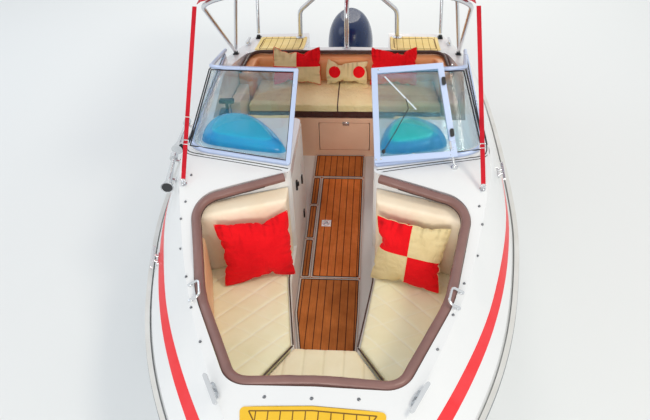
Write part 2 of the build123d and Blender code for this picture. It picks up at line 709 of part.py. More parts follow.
with BuildPart() as bench_cushions:
    with BuildSketch(Plane.XY.offset(BENCH_TOP_Z + SEAT_GAP)):
        plan_shape(COCKPIT, COCKPIT_RADII)
        offset(amount=-3.0 - BENCH_PAD - 3.0)
        with Locations((0, BENCH_FRONT_Y - 8)):
            Rectangle(2400, 1000, align=(Align.CENTER, Align.MIN), mode=Mode.INTERSECT)
        with Locations((-50, 1300)):
            Rectangle(6, 1000, mode=Mode.SUBTRACT)
    extrude(amount=118)
pieces["bench_cushions"] = bench_cushions

with BuildPart() as bench_arms:
    bench_ring(905, 1180, BENCH_TOP_Z + SEAT_GAP, 700, 80)
    bench_ring(905, BENCH_FRONT_Y - SEAT_GAP, FLOOR_Z + SEAT_GAP, BENCH_TOP_Z + 20, 80)
pieces["bench_arms"] = bench_arms

with BuildPart() as bench_trim:
    tube(
        [(-814, 1190, 802.3), (-781, 1523, 802.3), (781, 1523, 802.3), (814, 1190, 802.3)],
        14,
        [110, 110],
    )
pieces["bench_trim"] = bench_trim

# Windshield frame: bottom and top rails with an inner post, made for port and mirrored
GLASS_THICKNESS = 5.0
with BuildPart() as windshield_frame:
    tube([BASE_INNER, BASE_CORNER, BASE_AFT], RAIL_RADIUS, BASE_BEND)
    tube([TOP_INNER, TOP_CORNER, TOP_AFT], RAIL_RADIUS, TOP_BEND)
    bar(BASE_INNER, TOP_INNER, 2 * RAIL_RADIUS, 2 * RAIL_RADIUS, (0, 1, 0))
    with Locations(BASE_INNER, TOP_INNER):
        Sphere(RAIL_RADIUS + 0.2)
    mirror(about=Plane.YZ)
pieces["windshield_frame"] = windshield_frame


# Glass: cut a set distance inside each rail, and less at the narrow aft end
PANE_INSET = 21.0
PANE_AFT_INSET = 15.0
PANE_AFT_END = 60.0


def pane_cut(lower):
    """The glass's thin plan strip along one rail, in that rail's own tilted plane."""
    rails = ((BASE_INNER, TOP_INNER), (BASE_CORNER, TOP_CORNER), (BASE_AFT, TOP_AFT))
    points = []
    for (low, high), inset in zip(rails, (PANE_INSET, PANE_INSET, PANE_AFT_INSET)):
        low, high = Vector(*low), Vector(*high)
        step = (high - low).normalized() * inset
        points.append(low + step if lower else high - step)
    slope = (points[0].Z - points[2].Z) / (points[2].Y - points[0].Y)
    level = Plane(origin=(0, points[0].Y, points[0].Z), x_dir=(1, 0, 0), z_dir=(0, slope, 1))
    flat = [level.to_local_coords(point) for point in points]
    flat[0] = flat[0] + (flat[1] - flat[0]).normalized() * (RAIL_RADIUS + 7 * SEAT_GAP)
    flat[2] = flat[2] + (flat[1] - flat[2]).normalized() * PANE_AFT_END
    line = FilletPolyline(*[(point.X, point.Y) for point in flat], radius=BASE_BEND if lower else TOP_BEND)
    strip = offset(line, amount=GLASS_THICKNESS, side=Side.LEFT, closed=True)
    return level.from_local_coords(Face(strip.wires()[0]))


glass_cuts = [pane_cut(True), pane_cut(False)]
with BuildPart() as windshield_glass:
    loft(sections=glass_cuts, ruled=True)
    mirror(about=Plane.YZ)
pieces["windshield_glass"] = windshield_glass

# Walk-through window: a hinged frame between the two posts, shown folded open over the port pane
DOOR_MEMBER = 34.0
DOOR_DEPTH = 20.0
POST_CLEARANCE = 5.0
rise = Vector(0, TOP_INNER[1] - BASE_INNER[1], TOP_INNER[2] - BASE_INNER[2])
DOOR_PLANE = Plane(origin=(0,) + BASE_INNER[1:], x_dir=(1, 0, 0), z_dir=Vector(1, 0, 0).cross(rise))
low_half = BASE_INNER[0] - RAIL_RADIUS - POST_CLEARANCE
high_half = TOP_INNER[0] - RAIL_RADIUS - POST_CLEARANCE
HINGE_OFFSET = 15.0
hinge_low = DOOR_PLANE.from_local_coords(Vector(low_half + 2, 0, HINGE_OFFSET))
hinge_high = DOOR_PLANE.from_local_coords(Vector(high_half + 2, rise.length, HINGE_OFFSET))
HINGE = Axis(hinge_low, hinge_high - hinge_low)
OPEN_ANGLE = 184.0
door_outline = [(-low_half, 0), (low_half, 0), (high_half, rise.length), (-high_half, rise.length)]

with BuildPart() as closed_door:
    with BuildSketch(DOOR_PLANE):
        with BuildLine():
            Polyline(*door_outline, close=True)
        make_face()
        offset(amount=-DOOR_MEMBER, kind=Kind.INTERSECTION, mode=Mode.SUBTRACT)
    extrude(amount=DOOR_DEPTH / 2, both=True)
with BuildPart() as closed_pane:
    with BuildSketch(DOOR_PLANE):
        with BuildLine():
            Polyline(*door_outline, close=True)
        make_face()
        offset(amount=-DOOR_MEMBER - SEAT_GAP, kind=Kind.INTERSECTION)
    extrude(amount=GLASS_THICKNESS / 2, both=True)
with BuildPart() as closed_catches:
    for share in (0.25, 0.8):
        with BuildSketch(DOOR_PLANE.offset(-DOOR_DEPTH / 2 - SEAT_GAP)):
            with Locations((-low_half + (low_half - high_half) * share + 14, rise.length * share)):
                RectangleRounded(22, 46, 8)
        extrude(amount=-12)
with BuildPart() as window_door:
    add(closed_door.part.rotate(HINGE, OPEN_ANGLE))
pieces["window_door"] = window_door
with BuildPart() as window_door_glass:
    add(closed_pane.part.rotate(HINGE, OPEN_ANGLE))
pieces["window_door_glass"] = window_door_glass
with BuildPart() as window_catches:
    add(closed_catches.part.rotate(HINGE, OPEN_ANGLE))
pieces["window_catches"] = window_catches

# Anchor lid in the foredeck, hinged at its aft edge
LID_PROUD = 3.0
with BuildPart() as anchor_lid:
    with BuildSketch(LID_LEDGE.offset(SEAT_GAP)):
        plan_shape([(x, y - ANCHOR_LID[0][1]) for x, y in ANCHOR_LID], ANCHOR_LID_RADII)
    extrude(amount=100)
    add(deck_form.part.moved(Location((0, 0, LID_PROUD))), mode=Mode.INTERSECT)
pieces["anchor_lid"] = anchor_lid

# Deck fittings: cleats, handles, eyes for the canopy straps, twin horn, navigation lamp, bow eye
CLEAT_PLACES = [
    # x, y, heading
    (440, -1700, 65), (-440, -1700, 115), (1000, -60, 90),
    (-1000, -700, 90), (850, 1790, 90), (-850, 1790, 90),
]
with BuildPart() as cleats:
    for x, y, along in CLEAT_PLACES:
        seat = on_deck(x, y)
        with BuildSketch(seat):
            SlotOverall(90, 34, rotation=along)
        extrude(amount=8)
        with BuildSketch(seat.offset(8)):
            with PolarLocations(20, 2, start_angle=along):
                Circle(9)
        extrude(amount=22)
        with BuildSketch(seat.offset(28)):
            SlotOverall(170, 18, rotation=along)
        extrude(amount=14)
pieces["cleats"] = cleats

with BuildPart() as grab_handles:
    for side in (1, -1):
        feet = [on_deck(side * 690, -1085, reach=6), on_deck(side * 664, -1185, reach=6)]
        a, b = [foot.origin + Vector(0, 0, 6) for foot in feet]
        lean = Vector(-side * 52, 0, 34)
        tube([a, a + lean, b + lean, b], 7, 22)
        for foot in feet:
            with BuildSketch(foot) as base:
                Circle(11)
            extrude(base.sketch, amount=5)
pieces["grab_handles"] = grab_handles

STRAP_EYE = (845, -440)
with BuildPart() as strap_eyes:
    for side in (1, -1):
        seat = on_deck(side * STRAP_EYE[0], STRAP_EYE[1])
        with BuildSketch(seat):
            Circle(17)
        extrude(amount=5)
        ring = Plane(origin=seat.origin + seat.z_dir * 17, x_dir=seat.z_dir, z_dir=seat.y_dir)
        with BuildSketch(ring):
            Circle(14)
            Circle(9, mode=Mode.SUBTRACT)
        extrude(amount=4, both=True)
pieces["strap_eyes"] = strap_eyes

HORN_RISE = 42.0
HORNS = [((-962, 60), (-962, 245)), ((-925, -340), (-945, -160))]
with BuildPart() as horns:
    for places in HORNS:
        seats = [on_deck(x, y) for x, y in places]
        front, back = [seat.origin + seat.z_dir * HORN_RISE for seat in seats]
        run = (back - front).normalized()
        mouth = front - run * 80
        with BuildSketch(Plane(origin=mouth, z_dir=run)):
            Circle(36)
        with BuildSketch(Plane(origin=mouth + run * 55, z_dir=run)):
            Circle(19)
        loft(ruled=True)
        with BuildSketch(Plane(origin=mouth + run * 55, z_dir=run)):
            Circle(19)
        with BuildSketch(Plane(origin=back + run * 10, z_dir=run)):
            Circle(12)
        loft(ruled=True)
        with BuildSketch(Plane(origin=back + run * 10, z_dir=run)):
            Circle(24)
        extrude(amount=38)
        for seat in seats:
            with BuildSketch(seat):
                RectangleRounded(34, 22, 5)
            extrude(amount=4)
            with BuildSketch(seat):
                Rectangle(10, 14)
            extrude(amount=HORN_RISE)
pieces["horns"] = horns

# Canopy: red fabric over three tube bows, held by straps at the foredeck and poles at the aft deck
CANOPY_HALF = 786.0
CANOPY_FRONT_Y = 200.0
CANOPY_AFT_Y = 2250.0
CANOPY_EDGE_Z = 1785.0
CANOPY_HEM = 46.0
CANOPY_CLOTH = 4.0
CANOPY_PITCH = 0.25
CROWN_RADIUS = 2600.0
BOW_TUBE = 14.0
BOW_BEND = 150.0
BOW_FOOT = (890, 1450)
POLE_FOOT = (790, 1965)
FOOT_RISE = 30.0

with BuildPart() as canopy_feet:
    for side in (1, -1):
        for x, y in (BOW_FOOT, POLE_FOOT):
            seat = on_deck(side * x, y)
            with BuildSketch(seat):
                RectangleRounded(44, 70, 12)
            extrude(amount=6)
            with BuildSketch(seat.offset(6)):
                Circle(16)
            extrude(amount=FOOT_RISE - 12)
pieces["canopy_feet"] = canopy_feet

bow_drop = BOW_TUBE + CANOPY_CLOTH + SEAT_GAP
pitch_length = (1 + CANOPY_PITCH ** 2) ** 0.5
bow_half = CANOPY_HALF - bow_drop
bow_edge_z = CANOPY_EDGE_Z + CANOPY_PITCH * bow_drop - bow_drop * pitch_length
bow_apex_z = CANOPY_EDGE_Z + CANOPY_PITCH * CANOPY_HALF - bow_drop * pitch_length


def canopy_bow(x, y, top_y):
    """A tube hoop from a deck foot on one side, over the crown, to the other side."""
    seat = on_deck(x, y)
    z = seat.origin.Z + FOOT_RISE + BOW_TUBE / 2
    lean = (top_y - y) / (bow_edge_z - z)
    foot_y = seat.origin.Y + (10 if abs(lean) < 0.5 else 22 * (1 if lean > 0 else -1))
    tube(
        [
            (x, foot_y, z), (bow_half, top_y, bow_edge_z), (0, top_y, bow_apex_z),
            (-bow_half, top_y, bow_edge_z), (-x, foot_y, z),
        ],
        BOW_TUBE,
        [BOW_BEND, CROWN_RADIUS, BOW_BEND],
    )


with BuildPart() as canopy_front_bow:
    canopy_bow(*BOW_FOOT, CANOPY_FRONT_Y + BOW_TUBE + 6)
pieces["canopy_front_bow"] = canopy_front_bow
with BuildPart() as canopy_main_bow:
    canopy_bow(*BOW_FOOT, 1390)
pieces["canopy_main_bow"] = canopy_main_bow
with BuildPart() as canopy_aft_bow:
    canopy_bow(*POLE_FOOT, CANOPY_AFT_Y - BOW_TUBE - 6)
pieces["canopy_aft_bow"] = canopy_aft_bow

with BuildPart() as canopy:
    with BuildSketch(Plane.XZ.offset(-CANOPY_FRONT_Y)):
        apex_z = CANOPY_EDGE_Z + CANOPY_PITCH * CANOPY_HALF
        with BuildLine():
            outer = FilletPolyline(
                (CANOPY_HALF, CANOPY_EDGE_Z - CANOPY_HEM), (CANOPY_HALF, CANOPY_EDGE_Z), (0, apex_z),
                (-CANOPY_HALF, CANOPY_EDGE_Z), (-CANOPY_HALF, CANOPY_EDGE_Z - CANOPY_HEM),
                radius=[24, CROWN_RADIUS, 24],
            )
            offset(outer, amount=CANOPY_CLOTH, side=Side.LEFT, closed=True)
        make_face()
    extrude(amount=-(CANOPY_AFT_Y - CANOPY_FRONT_Y))
pieces["canopy"] = canopy

with BuildPart() as canopy_straps:
    for side in (1, -1):
        eye = on_deck(side * STRAP_EYE[0], STRAP_EYE[1]).origin
        bar(eye + Vector(0, 0, 34), (side * 802, CANOPY_FRONT_Y + 15, CANOPY_EDGE_Z - 30), 25, 3, (0, 1, 0))
pieces["canopy_straps"] = canopy_straps

# Tow arch over the aft deck: a hoop with a leg in front
ARCH_TUBE = 19.0
with BuildPart() as tow_arch:
    feet = [on_deck(side * 420, 1955) for side in (1, -1)]
    a, b = [foot.origin + foot.z_dir * 5 for foot in feet]
    hoop = [a, (410, 1945, 965), (140, 1890, 1225), (-140, 1890, 1225), (-410, 1945, 965), b]
    tube(hoop, ARCH_TUBE, [90, 90, 90, 90])
    front_foot = on_deck(0, 1605)
    tube([front_foot.origin + front_foot.z_dir * 5, (0, 1640, 1100), (0, 1886, 1222)], ARCH_TUBE, 120)
    for foot in feet + [front_foot]:
        with BuildSketch(foot) as flange:
            Circle(38)
        extrude(flange.sketch, amount=6)
pieces["tow_arch"] = tow_arch

# Aft deck pads on both sides of the motor well, notched round the tow arch's feet
PAD_THICKNESS = 7.0
PAD_MARGIN = 10.0
PAD_WIDTH = 405.0
with BuildPart() as aft_deck_pads:
    with BuildSketch(Plane.XY.offset(600)):
        for side in (1, -1):
            with Locations((side * (MOTOR_WELL_HALF + PAD_MARGIN + PAD_WIDTH / 2), 1775)):
                RectangleRounded(PAD_WIDTH, 380, 30)
        with Locations(*[(foot.origin.X, foot.origin.Y) for foot in feet]):
            Circle(43, mode=Mode.SUBTRACT)
    extrude(amount=400)
    add(deck_form.part.moved(Location((0, 0, PAD_THICKNESS))), mode=Mode.INTERSECT)
    add(deck_form.part.moved(Location((0, 0, SEAT_GAP))), mode=Mode.SUBTRACT)
pieces["aft_deck_pads"] = aft_deck_pads

# Swim platforms each side of the outboard, with a folding ladder on the port one
PLATFORM_Z = 250.0
PLATFORM_LENGTH = 400.0
PLATFORM_INNER = 400.0
with BuildPart() as swim_platforms:
    start = SECTIONS[0][0] + SEAT_GAP
    with BuildSketch(Plane.XY.offset(PLATFORM_Z - 50)):
        with BuildLine():
            FilletPolyline(
                (PLATFORM_INNER, start), (880, start), (850, start + PLATFORM_LENGTH),
                (PLATFORM_INNER, start + PLATFORM_LENGTH), radius=[1, 130], close=False,
            )
            Line((PLATFORM_INNER, start + PLATFORM_LENGTH), (PLATFORM_INNER, start))
        make_face()
    extrude(amount=50)
    for x in (470, 780):
        with BuildSketch(Plane.YZ.offset(x)):
            with BuildLine():
                Polyline(
                    (start, PLATFORM_Z - 50), (start, 60), (start + 60, 60), (start + 300, PLATFORM_Z - 50),
                    close=True,
                )
            make_face()
        extrude(amount=14)
    mirror(about=Plane.YZ)
pieces["swim_platforms"] = swim_platforms

LADDER_X = 600.0
LADDER_HALF = 130.0
LADDER_TUBE = 12.0
LADDER_REACH = 360.0
LADDER_PIN = 5.0
LADDER_EYE = 15.0
LADDER_AXIS = (SECTIONS[0][0] + PLATFORM_LENGTH + 20, PLATFORM_Z + 20)
with BuildPart() as boarding_ladder:
    ladder_y, ladder_z = LADDER_AXIS
    left, right = LADDER_X - LADDER_HALF, LADDER_X + LADDER_HALF
    far_y = ladder_y - LADDER_REACH
    rails = [(left, ladder_y), (left, far_y), (right, far_y), (right, ladder_y)]
    tube([(x, y, ladder_z) for x, y in rails], LADDER_TUBE, 40)
    for run in (100, 225):
        bar((left, ladder_y - run, ladder_z), (right, ladder_y - run, ladder_z), 50, 18, (0, 0, 1))
    for x in (left, right):
        with BuildSketch(Plane.YZ.offset(x - LADDER_EYE)):
            with Locations(LADDER_AXIS):
                Circle(LADDER_EYE)
        extrude(amount=2 * LADDER_EYE)
    with BuildSketch(Plane.YZ.offset(left - 50)):
        with Locations(LADDER_AXIS):
            Circle(LADDER_PIN + PIN_FIT)
    extrude(amount=2 * LADDER_HALF + 100, mode=Mode.SUBTRACT)
pieces["boarding_ladder"] = boarding_ladder

# Hinge brackets for the ladder: a plate beside each rail, on the platform's edge, with its pin
with BuildPart() as ladder_hinges:
    for side in (1, -1):
        inner = LADDER_X + side * (LADDER_HALF + LADDER_EYE + SWING_GAP)
        with BuildSketch(Plane.YZ.offset(inner)):
            with BuildLine():
                Polyline(
                    (ladder_y - 80, PLATFORM_Z + SEAT_GAP), (ladder_y - 20, PLATFORM_Z + SEAT_GAP),
                    (ladder_y + 14, ladder_z - 12), (ladder_y + 14, ladder_z + 12),
                    (ladder_y - 40, ladder_z + 12),
                    close=True,
                )
            make_face()
        extrude(amount=side * 8)
        with BuildSketch(Plane.YZ.offset(inner)):
            with Locations(LADDER_AXIS):
                Circle(LADDER_PIN)
        extrude(amount=-side * (2 * LADDER_EYE + SWING_GAP + 4))
pieces["ladder_hinges"] = ladder_hinges

# Outboard: clamp bracket on the transom, swivel bracket that tilts, motor that steers, propeller
TRANSOM_Y = SECTIONS[0][0]
TILT_Y = TRANSOM_Y + 75
TILT_Z = TRANSOM_NOTCH_Z + 70
STEER_Y = TRANSOM_Y + 145
SHAFT_Z = -590.0
TILT_PIN = 13.0
STEER_TUBE = 22.0
PROP_SHAFT = 12.0
TILT_BARREL = 26.0
STEER_BARREL = 48.0
BARREL_BOTTOM_Z = -180.0
CARRIER_GAP = 10.0
CARRIER_HALF = 62.0
with BuildPart() as clamp_bracket:
    for x in (-128, 104):
        with BuildSketch(Plane.YZ.offset(x)):
            with BuildLine():
                Polyline(
                    (TRANSOM_Y - TRANSOM_WALL + 6, TRANSOM_NOTCH_Z + SEAT_GAP),
                    (TRANSOM_Y + SEAT_GAP, TRANSOM_NOTCH_Z + SEAT_GAP), (TRANSOM_Y + SEAT_GAP, -150),
                    (TRANSOM_Y + 26, -150), (TRANSOM_Y + 50, 60), (TILT_Y + 26, TILT_Z - 20),
                    (TILT_Y + 20, TILT_Z + 24), (TILT_Y - 24, TILT_Z + 26),
                    (TRANSOM_Y - TRANSOM_WALL + 6, TRANSOM_NOTCH_Z + 26), close=True,
                )
            make_face()
        extrude(amount=24)
    with BuildSketch(Plane.YZ.offset(-128)):
        with Locations((TILT_Y, TILT_Z)):
            Circle(TILT_PIN)
    extrude(amount=256)
pieces["clamp_bracket"] = clamp_bracket

with BuildPart() as swivel_bracket:
    with BuildSketch(Plane.YZ.offset(-96)):
        with Locations((TILT_Y, TILT_Z)):
            Circle(TILT_BARREL)
    extrude(amount=192)
    with Locations((0, (TILT_Y + STEER_Y) / 2, TILT_Z - 30)):
        Box(120, STEER_Y - TILT_Y, 60)
    with BuildSketch(Plane.XY.offset(BARREL_BOTTOM_Z)):
        with Locations((0, STEER_Y)):
            Circle(STEER_BARREL)
        with Locations((0, STEER_Y - 30)):
            Rectangle(60, 40)
    extrude(amount=TILT_Z - BARREL_BOTTOM_Z)
    with BuildSketch(Plane.YZ.offset(-130)):
        with Locations((TILT_Y, TILT_Z)):
            Circle(TILT_PIN + PIN_FIT)
    extrude(amount=260, mode=Mode.SUBTRACT)
    with BuildSketch(Plane.XY.offset(-300)):
        with Locations((0, STEER_Y)):
            Circle(STEER_TUBE + PIN_FIT)
    extrude(amount=800, mode=Mode.SUBTRACT)
pieces["swivel_bracket"] = swivel_bracket

LEG_Y = STEER_Y + 165
LEG_SECTIONS = [(TILT_Z + 52, 260, 320), (60, 150, 250), (-200, 112, 230), (-404, 84, 230)]
FOOT_SECTIONS = [(-400, 70, 220), (SHAFT_Z + 60, 44, 190), (SHAFT_Z, 40, 180)]
with BuildPart() as motor_leg:
    # exhaust housing, hollowed round the swivel bracket's barrel
    for z, width, length in LEG_SECTIONS:
        with BuildSketch(Plane.XY.offset(z)):
            with Locations((0, LEG_Y)):
                Ellipse(width / 2, length / 2)
    loft()
    with BuildSketch(Plane.XY.offset(BARREL_BOTTOM_Z - CARRIER_GAP)):
        with Locations((0, STEER_Y)):
            Circle(STEER_BARREL + SWING_GAP)
    extrude(amount=TILT_Z - BARREL_BOTTOM_Z + 2 * CARRIER_GAP, mode=Mode.SUBTRACT)
    # steering tube, with the carrier above and the yoke below the barrel
    with BuildSketch(Plane.XY.offset(BARREL_BOTTOM_Z - 50)):
        with Locations((0, STEER_Y)):
            Circle(STEER_TUBE)
    extrude(amount=TILT_Z - BARREL_BOTTOM_Z + 90)
    for bottom, height in ((TILT_Z + CARRIER_GAP, 46), (BARREL_BOTTOM_Z - CARRIER_GAP - 60, 60)):
        with BuildSketch(Plane.XY.offset(bottom)):
            with Locations((0, STEER_Y + 60)):
                RectangleRounded(2 * CARRIER_HALF, 180, 50)
        extrude(amount=height)
    # anti-ventilation plate, lower leg, gearcase and skeg
    with BuildSketch(Plane.XY.offset(-412)):
        with Locations((0, LEG_Y + 30)):
            Ellipse(120, 260)
    extrude(amount=10)
    for z, width, length in FOOT_SECTIONS:
        with BuildSketch(Plane.XY.offset(z)):
            with Locations((0, LEG_Y)):
                Ellipse(width / 2, length / 2)
    loft()
    with BuildSketch(Plane.YZ):
        with BuildLine():
            Polyline(
                (LEG_Y - 210, SHAFT_Z), (LEG_Y + 150, SHAFT_Z), (LEG_Y + 150, SHAFT_Z + 46),
                (LEG_Y - 20, SHAFT_Z + 60), (LEG_Y - 130, SHAFT_Z + 48), (LEG_Y - 190, SHAFT_Z + 22),
                close=True,
            )
        make_face()
    revolve(axis=Axis((0, LEG_Y, SHAFT_Z), (0, 1, 0)))
    with BuildSketch(Plane.YZ):
        with BuildLine():
            Polyline(
                (LEG_Y - 100, SHAFT_Z - 20), (LEG_Y + 110, SHAFT_Z - 20), (LEG_Y + 90, SHAFT_Z - 190),
                (LEG_Y + 30, SHAFT_Z - 190), close=True,
            )
        make_face()
    extrude(amount=7, both=True)
    with BuildSketch(Plane.XZ.offset(-LEG_Y - 100)):
        with Locations((0, SHAFT_Z)):
            Circle(PROP_SHAFT)
    extrude(amount=-160)
pieces["motor_leg"] = motor_leg

# Propeller: hub and three twisted blades, each lofted through four cuts
BLADES = 3
BLADE_CUTS = [(34, 74, 14, 62), (80, 124, 9, 42), (128, 120, 7, 30), (165, 60, 4, 24)]
HUB_LENGTH = 96.0
prop_y = LEG_Y + 150 + SWING_GAP
with BuildPart() as propeller:
    with BuildSketch(Plane.XZ.offset(-prop_y)):
        with Locations((0, SHAFT_Z)):
            Circle(44)
    extrude(amount=-HUB_LENGTH, taper=5)
    centre = Vector(0, prop_y + HUB_LENGTH / 2, SHAFT_Z)
    for blade in range(BLADES):
        turn = radians(360 / BLADES * blade)
        out = Vector(sin(turn), 0, cos(turn))
        across = out.cross(Vector(0, 1, 0))
        for radius, chord, thick, pitch in BLADE_CUTS:
            lean = across * cos(radians(pitch)) + Vector(0, 1, 0) * sin(radians(pitch))
            with BuildSketch(Plane(origin=centre + out * radius, x_dir=lean, z_dir=out)):
                Ellipse(chord / 2, thick / 2)
        loft()
    with BuildSketch(Plane.XZ.offset(-prop_y)):
        with Locations((0, SHAFT_Z)):
            Circle(PROP_SHAFT + PIN_FIT)
    extrude(amount=-HUB_LENGTH, mode=Mode.SUBTRACT)
pieces["propeller"] = propeller

# Cowl over the powerhead: one closed block, lower pan and rounded hood
COWL_Y = STEER_Y + 190
COWL_SECTIONS = [
    (TILT_Z + 62, 150, 250, 0),
    (TILT_Z + 150, 198, 312, 0),
    (TILT_Z + 300, 205, 318, 8),
    (TILT_Z + 420, 172, 268, 20),
    (TILT_Z + 500, 92, 165, 38),
]
with BuildPart() as motor_cowl:
    for z, half_width, half_length, shift in COWL_SECTIONS:
        with BuildSketch(Plane.XY.offset(z)):
            with Locations((0, COWL_Y + shift)):
                Ellipse(half_width, half_length)
    loft()
pieces["motor_cowl"] = motor_cowl

# Helm and passenger seats: low bucket seats on pedestals bolted to the floor
SEAT_X = 575.0
SEAT_Y = 640.0
with BuildPart() as seat_pedestals:
    for side in (1, -1):
        with BuildSketch(Plane.XY.offset(FLOOR_Z + SEAT_GAP)):
            with Locations((side * SEAT_X, SEAT_Y)):
                Circle(110)
        extrude(amount=12)
        with BuildSketch(Plane.XY.offset(FLOOR_Z + SEAT_GAP)):
            with Locations((side * SEAT_X, SEAT_Y)):
                Circle(36)
        extrude(amount=215)
        with BuildSketch(Plane.XY.offset(FLOOR_Z + 215)):
            with Locations((side * SEAT_X, SEAT_Y)):
                RectangleRounded(240, 260, 20)
        extrude(amount=10)
pieces["seat_pedestals"] = seat_pedestals

with BuildPart() as seat_cushions:
    for side in (1, -1):
        with BuildSketch(Plane.XY.offset(FLOOR_Z + 225 + SEAT_GAP)):
            with Locations((side * SEAT_X, SEAT_Y)):
                RectangleRounded(400, 400, 60)
        extrude(amount=105)
        with BuildSketch(Plane.XY.offset(FLOOR_Z + 290)):
            with Locations((side * SEAT_X, SEAT_Y + 165)):
                RectangleRounded(400, 70, 30)
        extrude(amount=245)
pieces["seat_cushions"] = seat_cushions

# Pillows: two in the bow, three on the bench
def pillow(centre, width, height, thick, lean, turn):
    """A square pillow standing on its lower edge, leaning back by lean degrees."""
    across = Vector(cos(radians(turn)), sin(radians(turn)), 0)
    forward = Vector(sin(radians(turn)), -cos(radians(turn)), 0)
    front = forward * cos(radians(lean)) + Vector(0, 0, sin(radians(lean)))
    plane = Plane(origin=centre, x_dir=across, z_dir=front)
    with BuildSketch(plane.offset(-thick / 2)) as back:
        RectangleRounded(width, height, 30)
    extrude(back.sketch, amount=thick)


with BuildPart() as bow_pillows:
    pillow((-430, -648, 668), 400, 395, 80, 20, 17)
    pillow((445, -655, 668), 400, 395, 80, 20, -17)
pieces["bow_pillows"] = bow_pillows

with BuildPart() as bench_pillows:
    pillow((-390, 1385, 748), 380, 300, 70, 20, 0)
    pillow((10, 1385, 699), 330, 200, 70, 20, 0)
    pillow((385, 1385, 748), 370, 300, 70, 20, 0)
pieces["bench_pillows"] = bench_pillows

for name, piece in pieces.items():
    piece.part.label = name
    export_step(piece.part, f"parts/{name}.step")
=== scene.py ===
import math
import random

import bmesh
import bpy
from mathutils import Matrix, Vector, noise
from mathutils.bvhtree import BVHTree


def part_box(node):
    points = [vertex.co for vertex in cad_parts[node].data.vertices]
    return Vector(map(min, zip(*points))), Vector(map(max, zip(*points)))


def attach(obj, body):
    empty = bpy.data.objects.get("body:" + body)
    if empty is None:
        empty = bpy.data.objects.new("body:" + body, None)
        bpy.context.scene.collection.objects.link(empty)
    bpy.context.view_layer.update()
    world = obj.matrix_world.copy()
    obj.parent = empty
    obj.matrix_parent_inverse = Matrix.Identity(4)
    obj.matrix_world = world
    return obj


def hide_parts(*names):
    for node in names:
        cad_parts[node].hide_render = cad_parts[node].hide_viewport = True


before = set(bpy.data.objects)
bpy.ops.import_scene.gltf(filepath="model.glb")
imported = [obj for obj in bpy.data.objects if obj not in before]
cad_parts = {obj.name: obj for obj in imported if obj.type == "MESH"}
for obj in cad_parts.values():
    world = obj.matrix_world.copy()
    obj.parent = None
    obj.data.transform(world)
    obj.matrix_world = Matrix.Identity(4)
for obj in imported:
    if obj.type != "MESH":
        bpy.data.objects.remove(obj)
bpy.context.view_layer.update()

# Stage: a pale floor that stands for the water's surface, a pale backdrop, and four soft lamps: high
# on the port bow like the sun, low ahead of the bow and behind the stern, and a weak one on the quarter.
# The camera stands over the bow, at the photograph's place.


def hex_colour(code, alpha=1.0):
    """A colour written as sRGB hex, turned to linear."""
    parts = [int(code[i:i + 2], 16) / 255 for i in (0, 2, 4)]
    return tuple(c / 12.92 if c <= 0.04045 else ((c + 0.055) / 1.055) ** 2.4 for c in parts) + (alpha,)


def add_node(tree, kind, settings=None, links=None):
    """Add one shader node, with its settings and the links into it."""
    made = tree.nodes.new("ShaderNode" + kind)
    for key, value in (settings or {}).items():
        if isinstance(key, int) or key in made.inputs:
            made.inputs[key].default_value = value
        else:
            setattr(made, key, value)
    for key, (source, output) in (links or {}).items():
        tree.links.new(source.outputs[output], made.inputs[key])
    return made


floor_paint = bpy.data.materials.new("matt floor paint")
floor_paint.use_nodes = True
floor_shader = floor_paint.node_tree.nodes["Principled BSDF"]
floor_shader.inputs["Base Color"].default_value = hex_colour("E4E7E8")
floor_shader.inputs["Roughness"].default_value = 0.9
FLOOR_SIZE = 240
bpy.ops.mesh.primitive_plane_add(size=FLOOR_SIZE)
floor = bpy.context.object
floor.name = "floor"
floor.data.materials.append(floor_paint)

world = bpy.data.worlds.new("studio")
world.use_nodes = True
bpy.context.scene.world = world
sky = world.node_tree
for old in list(sky.nodes):
    sky.nodes.remove(old)
path = add_node(sky, "LightPath")
direct = add_node(sky, "Math", {"operation": "MAXIMUM"}, {0: (path, "Is Camera Ray"), 1: (path, "Is Glossy Ray")})
seen = add_node(sky, "Math", {"operation": "MAXIMUM"}, {0: (direct, 0), 1: (path, "Is Transmission Ray")})
ambient = add_node(sky, "Background", {"Color": hex_colour("EBEEF1"), "Strength": 0.84})
backdrop = add_node(sky, "Background", {"Color": hex_colour("F2F4F5"), "Strength": 0.95})
mixed = add_node(sky, "MixShader", links={0: (seen, 0), 1: (ambient, 0), 2: (backdrop, 0)})
add_node(sky, "OutputWorld", links={"Surface": (mixed, 0)})


def placed(name, data):
    """A new object of that name, in the scene."""
    made = bpy.data.objects.new(name, data)
    bpy.context.scene.collection.objects.link(made)
    return made


LIT_SPOT = Vector((0, -0.3, 0.5))  # what the lamps are aimed at, just ahead of the windshield
LAMPS = [
    # name, place, size, power, colour
    ("key", (5.2, -2.4, 8.0), 2.2, 208, "FFF4E2"),
    ("fill", (-5.0, 3.0, 5.0), 3.5, 60, "E6F0FF"),
    ("bow", (-0.9, -8.0, 2.6), 3.0, 218, "FFF9F0"),
    ("stern", (0.6, 7.2, 4.4), 2.4, 130, "FFF9EC"),
]
for name, place, size, power, colour in LAMPS:
    lamp = bpy.data.lights.new(name, "AREA")
    lamp.shape = "DISK"
    lamp.size = size
    lamp.energy = power
    lamp.color = hex_colour(colour)[:3]
    holder = placed(name, lamp)
    holder.location = place
    holder.rotation_euler = (LIT_SPOT - Vector(place)).to_track_quat("-Z", "Y").to_euler()

